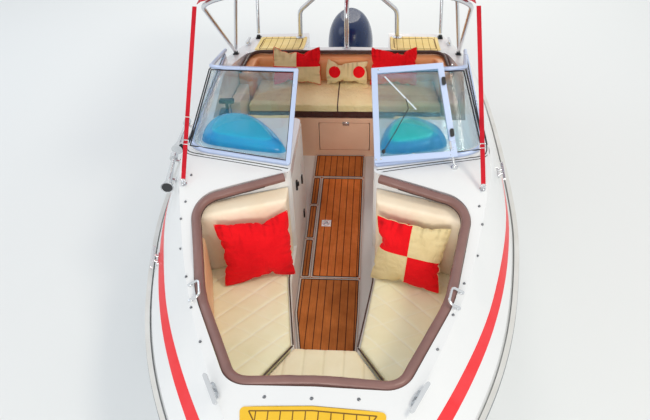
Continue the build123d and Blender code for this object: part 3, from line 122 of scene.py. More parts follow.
CAMERA_PLACE = Vector((0.235, -3.300, 3.279))
CAMERA_PITCH, CAMERA_YAW, CAMERA_ROLL = 40.77, 5.48, 2.44  # degrees
FILM_WIDTH = 36  # mm; the lens is as long as the film is wide
pitch, yaw, roll = (math.radians(a) for a in (CAMERA_PITCH, CAMERA_YAW, CAMERA_ROLL))
forward = Vector((-math.sin(yaw) * math.cos(pitch), math.cos(yaw) * math.cos(pitch), -math.sin(pitch)))
level = Vector((math.cos(yaw), math.sin(yaw), 0))
down = forward.cross(level)
right = math.cos(roll) * level + math.sin(roll) * down
up = math.sin(roll) * level - math.cos(roll) * down
lens = bpy.data.cameras.new("camera")
lens.sensor_fit = "HORIZONTAL"
lens.sensor_width = FILM_WIDTH
lens.lens = FILM_WIDTH
lens.clip_end = 200
camera = placed("camera", lens)
turn = Matrix((right, up, -forward)).transposed()
camera.matrix_world = Matrix.Translation(CAMERA_PLACE) @ turn.to_4x4()
bpy.context.scene.camera = camera
bpy.context.scene.view_settings.view_transform = "Standard"

# Hull and deck: two glass-fibre mouldings in white gelcoat, joined at the rub rail. Gelcoat is a glossy polyester skin:
# clean reflections, with a faint unevenness from the mould.


CLOUD_SCALE = 6.0  # a slow mottling, about 160 mm across
DARKER_SHADE = 0.72


def finish(name, colour, roughness, grain, relief, mottle=0.05, other=None, **sockets):
    """A finish with the grain and the unevenness that the real one has.

    grain is the texture's size and relief its height, both in mm; mottle is how far the colour wanders
    towards the other colour (a darker shade of the same one if none is given)."""
    made = bpy.data.materials.new(name)
    made.use_nodes = True
    tree = made.node_tree
    shader = tree.nodes["Principled BSDF"]
    base = hex_colour(colour)
    second = hex_colour(other) if other else tuple(c * DARKER_SHADE for c in base[:3]) + (1.0,)
    place = add_node(tree, "TexCoord")
    there = {"Vector": (place, "Object")}
    cloud = add_node(tree, "TexNoise", {"Scale": CLOUD_SCALE, "Detail": 4.0, "Roughness": 0.6}, there)
    most = min(1.0, mottle * 4)
    spread = add_node(tree, "MapRange", {1: 0.35, 2: 0.75, 3: 0.0, 4: most}, {0: (cloud, 0)})
    tone = add_node(tree, "Mix", {"data_type": "RGBA"}, {0: (spread, 0)})
    tone.inputs[6].default_value = base
    tone.inputs[7].default_value = second
    tree.links.new(tone.outputs[2], shader.inputs["Base Color"])
    fine = add_node(tree, "TexNoise", {"Scale": 1000 / grain, "Detail": 3.0}, there)
    bump = add_node(tree, "Bump", {"Strength": 0.6, "Distance": relief / 1000}, {"Height": (fine, 0)})
    tree.links.new(bump.outputs[0], shader.inputs["Normal"])
    dullest = min(1.0, roughness * 1.25)
    dull = add_node(tree, "MapRange", {1: 0.3, 2: 0.7, 3: roughness * 0.85, 4: dullest}, {0: (cloud, 0)})
    tree.links.new(dull.outputs[0], shader.inputs["Roughness"])
    for key, value in sockets.items():
        shader.inputs[key.replace("_", " ")].default_value = value
    made.diffuse_color = base
    return made


def smooth(thing, angle=35):
    """Shade curved faces smoothly and keep edges sharper than the angle."""
    thing.data.shade_smooth()
    thing.data.set_sharp_from_angle(angle=math.radians(angle))


def dress(node, material, angle=35):
    """Give a CAD node its material."""
    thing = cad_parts[node]
    thing.data.materials.clear()
    thing.data.materials.append(material)
    smooth(thing, angle)
    return thing


GELCOAT_WAVE = 60  # mm, the slow unevenness of a moulded skin
gelcoat = finish(
    "polished white gelcoat", "EDEFF0", 0.2, GELCOAT_WAVE, 0.25, 0.03, "D5DCE2", Coat_Weight=0.4, Coat_Roughness=0.06
)
satin_gelcoat = finish("satin white gelcoat", "E6E6E3", 0.4, 2.5, 0.08, 0.05, "CFCBC2")
dress("hull", gelcoat)
dress("deck", gelcoat, 28)
for node in ("liner", "motor_well", "consoles", "console_door", "swim_platforms"):
    dress(node, satin_gelcoat)

# Rub rail: extruded white vinyl over the joint of hull and deck, with a grey insert bead that hides
# the screws. Vinyl is duller than the gelcoat and has picked up a little dirt.
rail_vinyl = finish("extruded white vinyl", "DADBD9", 0.5, 3, 0.1, 0.08, "B9B6AC")
dress("rub_rail", rail_vinyl)


def skin_of(thing):
    """The surface of a CAD node, or of a piece made here, to lay trim on."""
    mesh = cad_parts[thing].data if isinstance(thing, str) else thing.data
    return BVHTree.FromPolygons([v.co.copy() for v in mesh.vertices], [list(f.vertices) for f in mesh.polygons])


def round_off(points, step):
    """A smooth line through the points, sampled about every step metres."""
    points = [Vector(p) for p in points]
    ends = [points[0] * 2 - points[1]] + points + [points[-1] * 2 - points[-2]]
    line = []
    for a, b, c, d in zip(ends, ends[1:], ends[2:], ends[3:]):
        count = max(1, round((c - b).length / step))
        for i in range(count):
            t = i / count
            curve = 2 * b + (c - a) * t + (2 * a - 5 * b + 4 * c - d) * t * t + (3 * b - a - 3 * c + d) * t ** 3
            line.append(0.5 * curve)
    return line + [points[-1]]


def piece(name, parts, material, body="boat", angle=35):
    """One piece from several lists of points and faces; it rides on the body."""
    points, faces = [], []
    for more_points, more_faces in parts:
        start = len(points)
        points += [tuple(p) for p in more_points]
        faces += [tuple(start + i for i in f) for f in more_faces]
    mesh = bpy.data.meshes.new(name)
    mesh.from_pydata(points, [], faces)
    work = bmesh.new()
    work.from_mesh(mesh)
    bmesh.ops.recalc_face_normals(work, faces=work.faces)
    work.to_mesh(mesh)
    work.free()
    made = placed(name, mesh)
    mesh.materials.append(material)
    smooth(made, angle)
    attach(made, body)
    return made


def wrapped(count, rings, closed=False, first=True, last=True):
    """The faces over rings of count points each: closed on itself, or with its first and last ring filled."""
    faces = []
    for r in range(rings if closed else rings - 1):
        a, b = r * count, (r + 1) % rings * count
        faces += [(a + k, a + (k + 1) % count, b + (k + 1) % count, b + k) for k in range(count)]
    if first and not closed:
        faces.append(tuple(range(count - 1, -1, -1)))
    if last and not closed:
        faces.append(tuple(range((rings - 1) * count, rings * count)))
    return faces


TUCK = 0.0006  # how far trim is pressed into the surface it lies on
EDGE_SHARE = 0.35  # trim is thinner at its edges, by this share


def strip_on(skin, line, width, lift=0.0006, thick=0.0012, across=3, step=0.02):
    """A flat closed strip along a line, laid on a surface. Each row of the line may carry its own width."""
    widths = width if isinstance(width, (list, tuple)) else [width] * len(line)
    rows = round_off([(*p, 0)[:3] for p in line], step)
    total, run = [0.0], [0.0]
    for lengths, row in ((total, line), (run, rows)):
        for a, b in zip(row, row[1:]):
            lengths.append(lengths[-1] + (Vector(b) - Vector(a)).length)
    points = []
    for k, p in enumerate(rows):
        reach = run[k] / run[-1] * total[-1]
        i = min(len(total) - 2, max(0, sum(t <= reach for t in total) - 1))
        share = (reach - total[i]) / max(1e-9, total[i + 1] - total[i])
        wide = widths[i] * (1 - share) + widths[i + 1] * share
        at, normal = skin.find_nearest(p)[:2]
        along = (rows[min(k + 1, len(rows) - 1)] - rows[max(k - 1, 0)]).normalized()
        side = normal.cross(along).normalized()
        top, low = [], []
        for j in range(across + 1):
            spot, facing = skin.find_nearest(at + side * (j / across - 0.5) * wide)[:2]
            if facing.dot(normal) < 0.2:
                facing = normal
            top.append(spot + facing * (lift + thick * (EDGE_SHARE if j in (0, across) else 1)))
            low.append(spot - facing * TUCK)
        points += top + low[::-1]
    return points, wrapped(2 * (across + 1), len(rows))


RAIL_LOW, RAY_STEP = 0.43, 0.005  # where the rays that look for the rail begin, and how far apart they are


def rail_line(side, start, end, count):
    """Points along the outer face of the rub rail, at its middle height."""
    found = []
    for k in range(count + 1):
        y = start + (end - start) * k / count
        rays = [Vector((side * 1.6, y, RAIL_LOW + RAY_STEP * m)) for m in range(40)]
        hits = [hit for hit in (rail_skin.ray_cast(ray, Vector((-side, 0, 0)))[0] for ray in rays) if hit]
        if hits:
            reach = max(abs(hit.x) for hit in hits)
            near = [hit for hit in hits if reach - abs(hit.x) < 0.003]
            found.append(sum(near, Vector()) / len(near))
    return found


rail_skin = skin_of("rub_rail")
insert_rubber = finish("grey rubber insert", "8E9499", 0.55, 2, 0.05, 0.06)
piece(
    "rub_rail_insert",
    [strip_on(rail_skin, rail_line(side, -2.45, 2.03, 60), 0.016, 0.0005, 0.003, 4, 0.03) for side in (1, -1)],
    insert_rubber,
)

# Stripe: a red vinyl tape on the sloping side of the deck moulding, from a point amidships to a hand's
# width at the bow. Cast vinyl is even in colour, with a low gloss.
stripe_vinyl = finish("red cast vinyl tape", "F03238", 0.34, 8, 0.02, 0.12, "F4525A", Specular_IOR_Level=0.3)
STRIPE_OUT = [
    (1.070, 0.100, 0.640), (1.063, -0.300, 0.634), (0.994, -0.700, 0.634), (0.878, -1.100, 0.652),
    (0.715, -1.500, 0.680), (0.497, -1.900, 0.697), (0.285, -2.200, 0.712), (0.140, -2.370, 0.722),
    (0.022, -2.480, 0.728),
]
STRIPE_IN = [
    (1.068, 0.100, 0.646), (1.034, -0.300, 0.684), (0.957, -0.700, 0.689), (0.836, -1.100, 0.694),
    (0.660, -1.500, 0.718), (0.438, -1.900, 0.736), (0.232, -2.190, 0.748), (0.112, -2.340, 0.752),
    (0.018, -2.472, 0.730),
]
deck_skin = skin_of("deck")
stripe = []
for side in (1, -1):
    pairs = [(Vector((side * a[0], *a[1:])), Vector((side * b[0], *b[1:]))) for a, b in zip(STRIPE_OUT, STRIPE_IN)]
    middle, spans = [tuple((a + b) / 2) for a, b in pairs], [(a - b).length for a, b in pairs]
    stripe.append(strip_on(deck_skin, middle, spans, 0.0004, 0.0006, 6, 0.02))
piece("deck_stripe", stripe, stripe_vinyl)

# Deck snaps and screws: chromed brass studs for the bow cover round the well, and three countersunk screws in the shelf
# ahead of the lid. Each is turned and pressed home.


def turned(profile, place, axis=(0, 0, 1), sides=24):
    """A turned form: (radius, height) rows revolved about the axis at the place."""
    basis = Vector(axis).to_track_quat("Z", "Y").to_matrix()
    points = []
    for radius, height in profile:
        for k in range(sides):
            a = 2 * math.pi * k / sides
            points.append(Vector(place) + basis @ Vector((radius * math.cos(a), radius * math.sin(a), height)))
    return points, wrapped(sides, len(profile))


def on_skin(skin, place):
    """The nearest point of a surface and its normal."""
    return skin.find_nearest(Vector(place))[:2]


polished_steel = finish("polished stainless steel", "DCDFE2", 0.16, 12, 0.02, 0.03, "C2C6CA", Metallic=0.82)
STUDS = [
    (-0.815, -0.363), (-0.687, -0.447), (-0.817, -0.550), (-0.826, -0.668), (-0.790, -0.832), (-0.722, -1.030),
    (-0.652, -1.230), (-0.561, -1.438), (0.293, -0.326), (0.509, -0.402), (0.689, -0.443), (0.819, -0.543),
    (0.832, -0.663), (0.776, -0.833), (0.705, -1.026), (0.635, -1.227), (0.548, -1.436),
]
STUD = [
    (0.0075, -0.001), (0.0075, 0.0012), (0.0062, 0.002), (0.0042, 0.0026), (0.0042, 0.0048), (0.0054, 0.0056),
    (0.0048, 0.0072), (0.002, 0.0078),
]
made_studs = []
for x, y in STUDS:
    spot, normal = on_skin(deck_skin, (x, y, 0.93 if y > -0.75 else 0.84))
    made_studs.append(turned(STUD, spot, normal))
# The plate is coloured darker than bright nickel, as a painted dark reflection.
nickel = finish("worn nickel plate, darkened as painted reflection", "8B8D91", 0.28, 4, 0.03, 0.15, "6C6E72", Metallic=1.0)
piece("cover_studs", made_studs, nickel)
SCREW = [(0.0085, -0.001), (0.0085, 0.001), (0.006, 0.0022), (0.0034, 0.0024), (0.0032, 0.0008), (0.001, 0.0006)]
screws = []
for x, y in ((-0.214, -1.729), (-0.006, -1.738), (0.195, -1.724)):
    spot, normal = on_skin(deck_skin, (x, y, 0.85))
    screws.append(turned(SCREW, spot, normal, 20))
piece("shelf_screws", screws, nickel)

# Deck fittings: polished stainless cleats, grab handles, strap eyes and a pair of trumpet horns. The mirror finish
# shows the sky and deck as bright and dark bands.
CANOPY_BOWS = ("canopy_aft_bow", "canopy_front_bow", "canopy_main_bow")
for node in ("cleats", "grab_handles", "strap_eyes", "tow_arch") + CANOPY_BOWS:
    dress(node, polished_steel, 50)
dress("ladder_hinges", polished_steel)
dress("horns", polished_steel, 40)
HORN_MOUTHS = [  # centre of each mouth and the way it runs aft
    ((-0.955, -0.011, 0.929), (0.0, 1.0, 0.03)),
    ((-0.957, -0.424, 0.939), (-0.11, 0.99, -0.04)),
]
HORN_BELL = [
    (0.030, 0.004), (0.0345, 0.0015), (0.0365, -0.001), (0.0375, -0.004), (0.0355, -0.0062), (0.0335, -0.004),
    (0.031, -0.0012),
]
HORN_THROAT = [(0.0315, -0.0016), (0.024, -0.0011), (0.014, -0.0009), (0.004, -0.0008)]
horn_skin = skin_of("horns")
dark_throat = finish("shadowed horn throat", "2A2D31", 0.5, 4, 0.02, 0.1)
bells, throats = [], []
for mouth, run in HORN_MOUTHS:
    mouth, run = Vector(mouth), Vector(run).normalized()
    centre = mouth
    for reach in (0.3, 0.2, 0.1):
        offsets = ((0.02, 0, 0), (-0.02, 0, 0), (0, 0, 0.02), (0, 0, -0.02))
        hits = [horn_skin.ray_cast(mouth - run * reach + Vector(o), run)[0] for o in offsets]
        if all(hits):
            centre = sum(hits, Vector()) / 4
            break
    bells.append(turned(HORN_BELL, centre, run, 40))
    throats.append(turned(HORN_THROAT, centre, run, 40))
piece("horn_bells", bells, polished_steel, angle=60)
piece("horn_throats", throats, dark_throat)

# Anchor lid: a foam pad glued on the moulded lid, routed through to its dark lower layer along a border
# and in lengthwise lines. Closed-cell foam is matt with a fine brushed nap.
yellow_foam = finish("brushed yellow foam", "F4C63C", 0.78, 2.5, 0.25, 0.1, "E0AE30", Specular_IOR_Level=0.25)
routed_foam = finish("routed brown foam", "7A5A22", 0.8, 2, 0.1, 0.1)
dress("anchor_lid", yellow_foam)
lid_skin = skin_of("anchor_lid")
LID_HALF = ((-1.775, 0.311), (-1.96, 0.283), (-2.13, 0.188))  # half the lid's width at places along it
LID_TOP = 0.86
BORDER_AFT, BORDER_FRONT = -1.797, -2.100
BORDER_HALF, BORDER_TAPER = 0.274, 0.58  # half the routed border's width at its aft edge, and how fast it narrows
LID_MARGIN = 0.03


def lid_edge(y):
    """Half the lid's width at a place along it."""
    for (y0, w0), (y1, w1) in zip(LID_HALF, LID_HALF[1:]):
        if y >= y1:
            return w0 + (w1 - w0) * (y0 - y) / (y0 - y1)
    return LID_HALF[-1][1]


def border_half(y):
    """Half the routed border's width at a place along the lid."""
    return min(BORDER_HALF - BORDER_TAPER * (BORDER_AFT - y), lid_edge(y) - LID_MARGIN)


def routed(line, width=0.006, step=0.03):
    """A routed line in the lid's pad, given as x and y."""
    return strip_on(lid_skin, [(x, y, LID_TOP) for x, y in line], width, 0.0002, 0.0008, 2, step)


inner = [(border_half(y), y) for y in (BORDER_AFT, -1.86, -1.93, -2.0, -2.06, BORDER_FRONT)]
lines = [routed([(side * x, y) for x, y in inner]) for side in (1, -1)]
for y in (BORDER_AFT, BORDER_FRONT):
    half = border_half(y)
    lines.append(routed([(-half, y), (0, y), (half, y)]))
LINE_SPACING = 0.054
for k in range(-5, 6):
    x = (k + 0.5) * LINE_SPACING
    reach = BORDER_AFT - (BORDER_HALF - abs(x)) / BORDER_TAPER
    end = max(BORDER_FRONT, reach)
    if BORDER_AFT - end > 0.02:
        lines.append(routed([(x, BORDER_AFT), (x, end)], 0.005, 0.04))
piece("anchor_lid_lines", lines, routed_foam, "anchor_lid")

# Teak-look floor: foam boards with dark caulk lines lengthwise, laid in a white margin, each bound by a
# border of the dark layer. It is matt, and its brown wanders a little from board to board.


def paint_over(material, share, colour):
    """Lay a colour over part of a finish; share is the node, and its output, that says how much."""
    tree = material.node_tree
    base = tree.nodes["Principled BSDF"].inputs["Base Color"]
    tone = base.links[0].from_node
    field = add_node(tree, "Mix", {"data_type": "RGBA"}, {0: share, 6: (tone, 2)})
    field.inputs[7].default_value = colour
    tree.links.new(field.outputs[2], base)


def planked(name, colour, other, line_colour, spacing, width, shift=0.0):
    """Foam planking: a matt field with a dark line every spacing millimetres across the boat."""
    made = finish(name, colour, 0.75, 3, 0.2, 0.22, other, Specular_IOR_Level=0.25)
    tree = made.node_tree
    place = add_node(tree, "TexCoord")
    split = add_node(tree, "SeparateXYZ", links={0: (place, "Object")})
    start = shift + 100 * spacing / 1000  # so that no place on the boat counts below zero
    moved = add_node(tree, "Math", {"operation": "ADD", 1: start}, {0: (split, 0)})
    turns = add_node(tree, "Math", {"operation": "DIVIDE", 1: spacing / 1000}, {0: (moved, 0)})
    share = add_node(tree, "Math", {"operation": "FRACT"}, {0: (turns, 0)})
    caulk = add_node(tree, "Math", {"operation": "LESS_THAN", 1: width / spacing}, {0: (share, 0)})
    drawn_out = add_node(tree, "Mapping", {"Scale": (1.0, 0.06, 1.0)}, {"Vector": (place, "Object")})
    streak = add_node(tree, "TexNoise", {"Scale": 160.0, "Detail": 2.0}, {"Vector": (drawn_out, 0)})
    grain = add_node(tree, "MapRange", {1: 0.4, 2: 0.7, 3: 0.0, 4: 0.35}, {0: (streak, 0)})
    paint_over(made, (grain, 0), hex_colour(other))
    paint_over(made, (caulk, 0), hex_colour(line_colour))
    return made


teak_foam = planked("brown foam teak", "CE7838", "A05A2A", "4A2413", 49, 5, 0.01)
dress("floor_boards", teak_foam)
hatch_foam = planked("orange foam teak", "F08840", "C26428", "54280F", 49, 5, 0.01)
dress("floor_hatch", hatch_foam)
border_foam = finish("dark foam border", "4A2716", 0.8, 2, 0.1, 0.08)
margin_foam = finish("white margin of the floor", "D8CFC6", 0.6, 3, 0.1, 0.06)


def moved_in(corners, amount):
    """A plane outline's corners, each moved inwards by the same amount from both its sides."""
    corners = [Vector(c).to_3d() for c in corners]
    middle = sum(corners, Vector()) / len(corners)
    normal = (corners[1] - corners[0]).cross(corners[2] - corners[1]).normalized()
    moved = []
    for k, at in enumerate(corners):
        a = (at - corners[k - 1]).normalized()
        b = (corners[(k + 1) % len(corners)] - at).normalized()
        na, nb = normal.cross(a), normal.cross(b)
        if na.dot(middle - at) < 0:
            na, nb = -na, -nb
        moved.append(at + (na + nb) / max(0.2, 1 + na.dot(nb)) * amount)
    return moved


def frame_on(skin, corners, inset, width, z, thick=0.0007, radius=0.02):
    """A closed border laid inside a level outline, with rounded corners."""
    moved = moved_in(corners, inset)
    path = []
    for k, at in enumerate(moved):
        a, b = ((other - at).normalized() for other in (moved[k - 1], moved[(k + 1) % len(moved)]))
        for t in (0.0, 0.25, 0.5, 0.75, 1.0):
            p = (at + a * radius) * (1 - t) ** 2 + at * 2 * t * (1 - t) + (at + b * radius) * t * t
            path.append((p.x, p.y, z))
    return strip_ring(skin, path, width, thick)


def strip_ring(skin, path, width, thick, lift=0.0002):
    """A flat closed strip round a loop of points, laid on a surface."""
    points = []
    for k, place in enumerate(path):
        spot, normal = on_skin(skin, place)
        along = (Vector(path[(k + 1) % len(path)]) - Vector(path[k - 1])).normalized()
        side = normal.cross(along).normalized() * width / 2
        top, low = normal * (lift + thick), normal * 0.0005
        points += [spot - side + top, spot + side + top, spot + side - low, spot - side - low]
    return points, wrapped(4, len(path), closed=True)


FLOOR_TOP = 0.120
hatch_skin = skin_of("floor_hatch")
HATCH = [(-0.165, -0.34), (0.165, -0.34), (0.165, 0.74), (-0.165, 0.74)]
margin = frame_on(hatch_skin, HATCH, 0.005, 0.008, FLOOR_TOP, 0.0006, 0.012)
piece("hatch_margin", [margin], margin_foam, "floor_hatch")
border = frame_on(hatch_skin, HATCH, 0.013, 0.008, FLOOR_TOP, 0.0008, 0.022)
piece("hatch_border", [border], border_foam, "floor_hatch")
board_skin = skin_of("floor_boards")
side_x = min(v.co.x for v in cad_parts["floor_boards"].data.vertices)
BOARDS = [
    [(side_x, -0.345), (0.165, -0.345), (0.165, -0.65), (0.15, -1.145), (-0.15, -1.145), (side_x, -0.65)],
    [(side_x, -0.34), (-0.17, -0.34), (-0.17, 0.03), (side_x, 0.03)],
    [(side_x, 0.035), (-0.17, 0.035), (-0.17, 0.4), (side_x, 0.4)],
    [(side_x, 0.405), (-0.17, 0.405), (-0.17, 0.74), (side_x, 0.74)],
    [(side_x, 0.745), (0.165, 0.745), (0.165, 1.042), (side_x, 1.042)],
]
margins = [frame_on(board_skin, b, 0.004, 0.007, FLOOR_TOP, 0.0006, 0.008) for b in BOARDS]
piece("board_margins", margins, margin_foam)
borders = [frame_on(board_skin, b, 0.011, 0.007, FLOOR_TOP, 0.0008, 0.016) for b in BOARDS]
piece("board_borders", borders, border_foam)
dress("hatch_ring", polished_steel, 50)
PULL_X, PULL_Y, PULL_HALF, PULL_HOLE = -0.095, 0.200, 0.034, 0.0272


def pull_plate():
    """A square steel plate round the lift ring's cup, with a round hole."""
    sides, points = 48, []
    for square, z in ((False, -0.0004), (False, 0.0014), (True, 0.0014), (True, -0.0004)):
        for k in range(sides):
            a = 2 * math.pi * k / sides
            reach = PULL_HALF / max(abs(math.cos(a)), abs(math.sin(a))) if square else PULL_HOLE
            points.append(Vector((PULL_X + reach * math.cos(a), PULL_Y + reach * math.sin(a), FLOOR_TOP + z)))
    return points, wrapped(sides, 4, closed=True)


pull_cup = turned([(0.0262, 0.0), (0.0262, 0.0004)], (PULL_X, PULL_Y, 0.1122), sides=36)
satin_steel = finish("satin stainless steel", "E4E6E8", 0.42, 2, 0.03, 0.05, "CDD1D5", Metallic=0.35)
piece("hatch_pull_plate", [pull_plate(), pull_cup], satin_steel, "floor_hatch")

# Aft deck pads: the same yellow foam, routed with lines fore and aft, glued either side of the well.
pad_foam = planked("sun-faded foam planking", "FCEAA6", "F0D88A", "B0924E", 54, 5, 0.02)
dress("aft_deck_pads", pad_foam)
aft_skin = skin_of("aft_deck_pads")
pad_frames = []
for side in (1, -1):
    outline = [(side * 0.362, 1.587), (side * 0.763, 1.587), (side * 0.763, 1.963), (side * 0.362, 1.963)]
    pad_frames.append(frame_on(aft_skin, outline, 0.03, 0.006, 0.79, 0.0008, 0.03))
piece("aft_pad_borders", pad_frames, routed_foam)

# Consoles and passage: satin gelcoat mouldings; black nylon latches on the passage side.
black_nylon = finish("moulded black nylon", "17181B", 0.42, 1.5, 0.05, 0.05, "26282C")
for node in ("door_latches", "window_catches", "canopy_feet", "helm_mount"):
    dress(node, black_nylon)
console_skin = skin_of("consoles")


def box_part(size, place, axes=None, edge=0.15):
    """A block with eased edges: its size, its place and its own axes."""
    axes = axes or (Vector((1, 0, 0)), Vector((0, 1, 0)), Vector((0, 0, 1)))
    work = bmesh.new()
    bmesh.ops.create_cube(work, size=1.0)
    for v in work.verts:
        v.co = Vector((v.co.x * size[0], v.co.y * size[1], v.co.z * size[2]))
    bmesh.ops.bevel(work, geom=list(work.edges), offset=min(size) * edge, segments=2, affect="EDGES", profile=0.5)
    points = [Vector(place) + axes[0] * v.co.x + axes[1] * v.co.y + axes[2] * v.co.z for v in work.verts]
    faces = [[v.index for v in f.verts] for f in work.faces]
    work.free()
    return points, faces


LATCH_PLACES = ((-0.165, 0.764), (-0.19, 0.62))
latches = []
for y, z in LATCH_PLACES:
    spot = console_skin.ray_cast(Vector((0.0, y, z)), Vector((-1, 0, 0)))[0]
    if spot:
        latches.append(box_part((0.012, 0.022, 0.07), spot + Vector((0.005, 0, 0))))
        latches.append(box_part((0.016, 0.012, 0.03), spot + Vector((0.012, 0, 0.01))))
piece("passage_latches", latches, black_nylon)

# Dash hoods: turquoise gelcoat domes, glossy, each with a raised inner field. The fields are painted a lighter
# turquoise as a painted highlight; the rim round them keeps the hood's own colour.
hood_blue = finish("turquoise gelcoat", "0596D8", 0.2, 50, 0.2, 0.2, "06B4DA", Coat_Weight=0.3)
# painted highlight: the port hood's smaller inner field is painted paler still
hood_port_painted_highlight = finish("turquoise gelcoat, painted port highlight", "08F2DE", 0.22, 50, 0.2, 0.12, "08DCD0", Coat_Weight=0.3)
HOOD_HEIGHT = 1.070
STARBOARD_HOOD = [
    (-0.262, -0.196), (-0.836, -0.074), (-0.834, 0.110), (-0.762, 0.214), (-0.620, 0.234), (-0.470, 0.146),
    (-0.325, -0.045),
]
PORT_HOOD = [
    (0.262, -0.192), (0.680, -0.100), (0.672, 0.040), (0.600, 0.130), (0.480, 0.205), (0.370, 0.190),
    (0.285, 0.060),
]
DASH_TOP = 0.982
HOOD_WALL = (  # each ring's size as a share of the outline, and its height as a share of the hood's
    (1.0, -0.03), (0.985, 0.22), (0.95, 0.48), (0.90, 0.70), (0.83, 0.86), (0.74, 0.95), (0.6, 0.99), (0.3, 1.0),
)
FIELD_WALL = ((1.0, -0.25), (0.985, 0.45), (0.95, 0.8), (0.88, 0.97), (0.7, 1.0), (0.45, 1.0), (0.2, 1.0))
ABOVE, DOWNWARD = 1.3, Vector((0, 0, -1))  # rays that find a surface's height start above the boat's dash


def cut_round(corners):
    """An outline with its corners cut again and again until it is a smooth curve, and its middle."""
    line = [Vector((x, y)) for x, y in corners]
    for reach in (0.085, 9, 9, 9):
        cut = []
        for start, end in zip(line, line[1:] + line[:1]):
            step = min(reach, 0.25 * (end - start).length) * (end - start).normalized()
            cut += [start + step, end - step]
        line = cut
    return line, sum(line, Vector((0, 0))) / len(line)


def height_of(skin, x, y, otherwise):
    """The height of a surface under a place."""
    hit = skin.ray_cast(Vector((x, y, ABOVE)), DOWNWARD)[0]
    return hit.z if hit else otherwise


def domed(corners):
    """A low dome on the dash whose wall turns over in a soft rim."""
    line, middle = cut_round(corners)
    points = []
    for scale, share in HOOD_WALL:
        for corner in line:
            spot = middle + (corner - middle) * scale
            foot = height_of(deck_skin, corner.x, corner.y, DASH_TOP)
            points.append(Vector((spot.x, spot.y, foot + (HOOD_HEIGHT - foot) * share)))
    return points, wrapped(len(line), len(HOOD_WALL))


domes = [domed(STARBOARD_HOOD), domed(PORT_HOOD)]
hoods = piece("dash_hood_domes", domes, hood_blue, angle=60)
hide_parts("dash_hoods")
hood_skin = skin_of(hoods)


def hood_field(corners, size, shift, lift):
    """A raised field of a hood's own outline, made smaller and moved a little, with a rounded edge."""
    line, middle = cut_round(corners)
    middle += Vector(shift)
    points = []
    for share, rise in FIELD_WALL:
        for corner in line:
            spot = middle + (corner - middle + Vector(shift)) * size * share
            points.append(Vector((spot.x, spot.y, height_of(hood_skin, spot.x, spot.y, 1.0) + lift * rise)))
    return points, wrapped(len(line), len(FIELD_WALL), first=False)


# painted highlight: the raised fields are painted a lighter turquoise than the hood
hood_painted_highlight = finish("turquoise gelcoat, painted highlight", "02BEE0", 0.2, 50, 0.2, 0.15, "04AADC", Coat_Weight=0.3)
hood_highlight_rings = [
    hood_field(STARBOARD_HOOD, 0.72, (0.0, -0.012), 0.006),
    hood_field(PORT_HOOD, 0.76, (-0.006, -0.008), 0.005),
]
piece("hood_highlight_rings", hood_highlight_rings, hood_painted_highlight, angle=60)
port_field = hood_field(PORT_HOOD, 0.66, (-0.018, -0.026), 0.011)
piece("hood_field_port", [port_field], hood_port_painted_highlight, angle=60)

# Windshield: extruded aluminium rails, anodised and clear, with black glazing rubber inside them and
# under the foot. Panes are tinted aqua; the port middle pane is a door, folded back over its neighbour.
# The rails are coloured pale blue, mottled towards a deeper blue: a painted sky reflection on pale grey metal.
anodised = finish("clear anodised aluminium with painted sky reflection", "C4D4F2", 0.3, 1.5, 0.02, 0.05, "9DB8EA", Metallic=0.3)
dress("windshield_frame", anodised, 40)
dress("window_door", anodised, 40)
tinted = finish("aqua tinted glass", "5CC8E8", 0.03, 80, 0.02, 0.04, "50BCDC", Transmission_Weight=0.85, Alpha=0.2)
dress("windshield_glass", tinted)
dress("window_door_glass", tinted)
rubber = finish("black glazing rubber", "14161C", 0.6, 2, 0.05, 0.06)


def rod(line, radius, sides=8, closed=False):
    """A round bar along a line of points."""
    count = len(line)
    points = []
    before = None
    for k in range(count):
        a = Vector(line[(k - 1) % count if closed else max(k - 1, 0)])
        b = Vector(line[(k + 1) % count if closed else min(k + 1, count - 1)])
        along = (b - a).normalized()
        side = (before - along * before.dot(along) if before else along.orthogonal()).normalized()
        before = side
        other = along.cross(side)
        for j in range(sides):
            t = 2 * math.pi * j / sides
            points.append(Vector(line[k]) + (side * math.cos(t) + other * math.sin(t)) * radius)
    return points, wrapped(sides, count, closed)


def inset_loop(corners, amount, step=0.03):
    """A plane polygon moved inwards, as closely spaced points."""
    moved = moved_in(corners, amount)
    path = []
    for k, at in enumerate(moved):
        after = moved[(k + 1) % len(moved)]
        count = max(1, round((after - at).length / step))
        path += [at + (after - at) * i / count for i in range(count)]
    return path


PANES = (
    ((0.256, -0.300, 1.034), (0.885, -0.150, 1.028), (0.770, 0.205, 1.374), (0.226, 0.110, 1.410)),
    ((0.885, -0.150, 1.028), (0.905, 1.130, 0.978), (0.893, 1.130, 1.016), (0.770, 0.205, 1.374)),
)
gaskets = []
for side in (1, -1):
    for corners in PANES:
        ring = [(side * x, y, z) for x, y, z in corners]
        gaskets.append(rod(inset_loop(ring, 0.0145, 0.06), 0.0042, 6, True))
piece("glazing_rubber", gaskets, rubber)
FOOT = [
    (0.256, -0.318, 1.0), (0.45, -0.272, 1.0), (0.66, -0.222, 1.0), (0.80, -0.187, 1.0), (0.875, -0.160, 0.995),
    (0.905, -0.10, 0.99), (0.915, 0.05, 0.985), (0.918, 0.4, 0.975),
]
foot_lines = []
for side in (1, -1):
    for out, back, width, thick in ((0, 0, 0.007, 0.0022), (0.004, 0.022, 0.005, 0.0018)):
        foot_line = [(side * (x + out), y - back, z) for x, y, z in FOOT]
        foot_lines.append(strip_on(deck_skin, foot_line, width, 0.0004, thick, 2, 0.04))
piece("windshield_foot_gaskets", foot_lines, rubber)

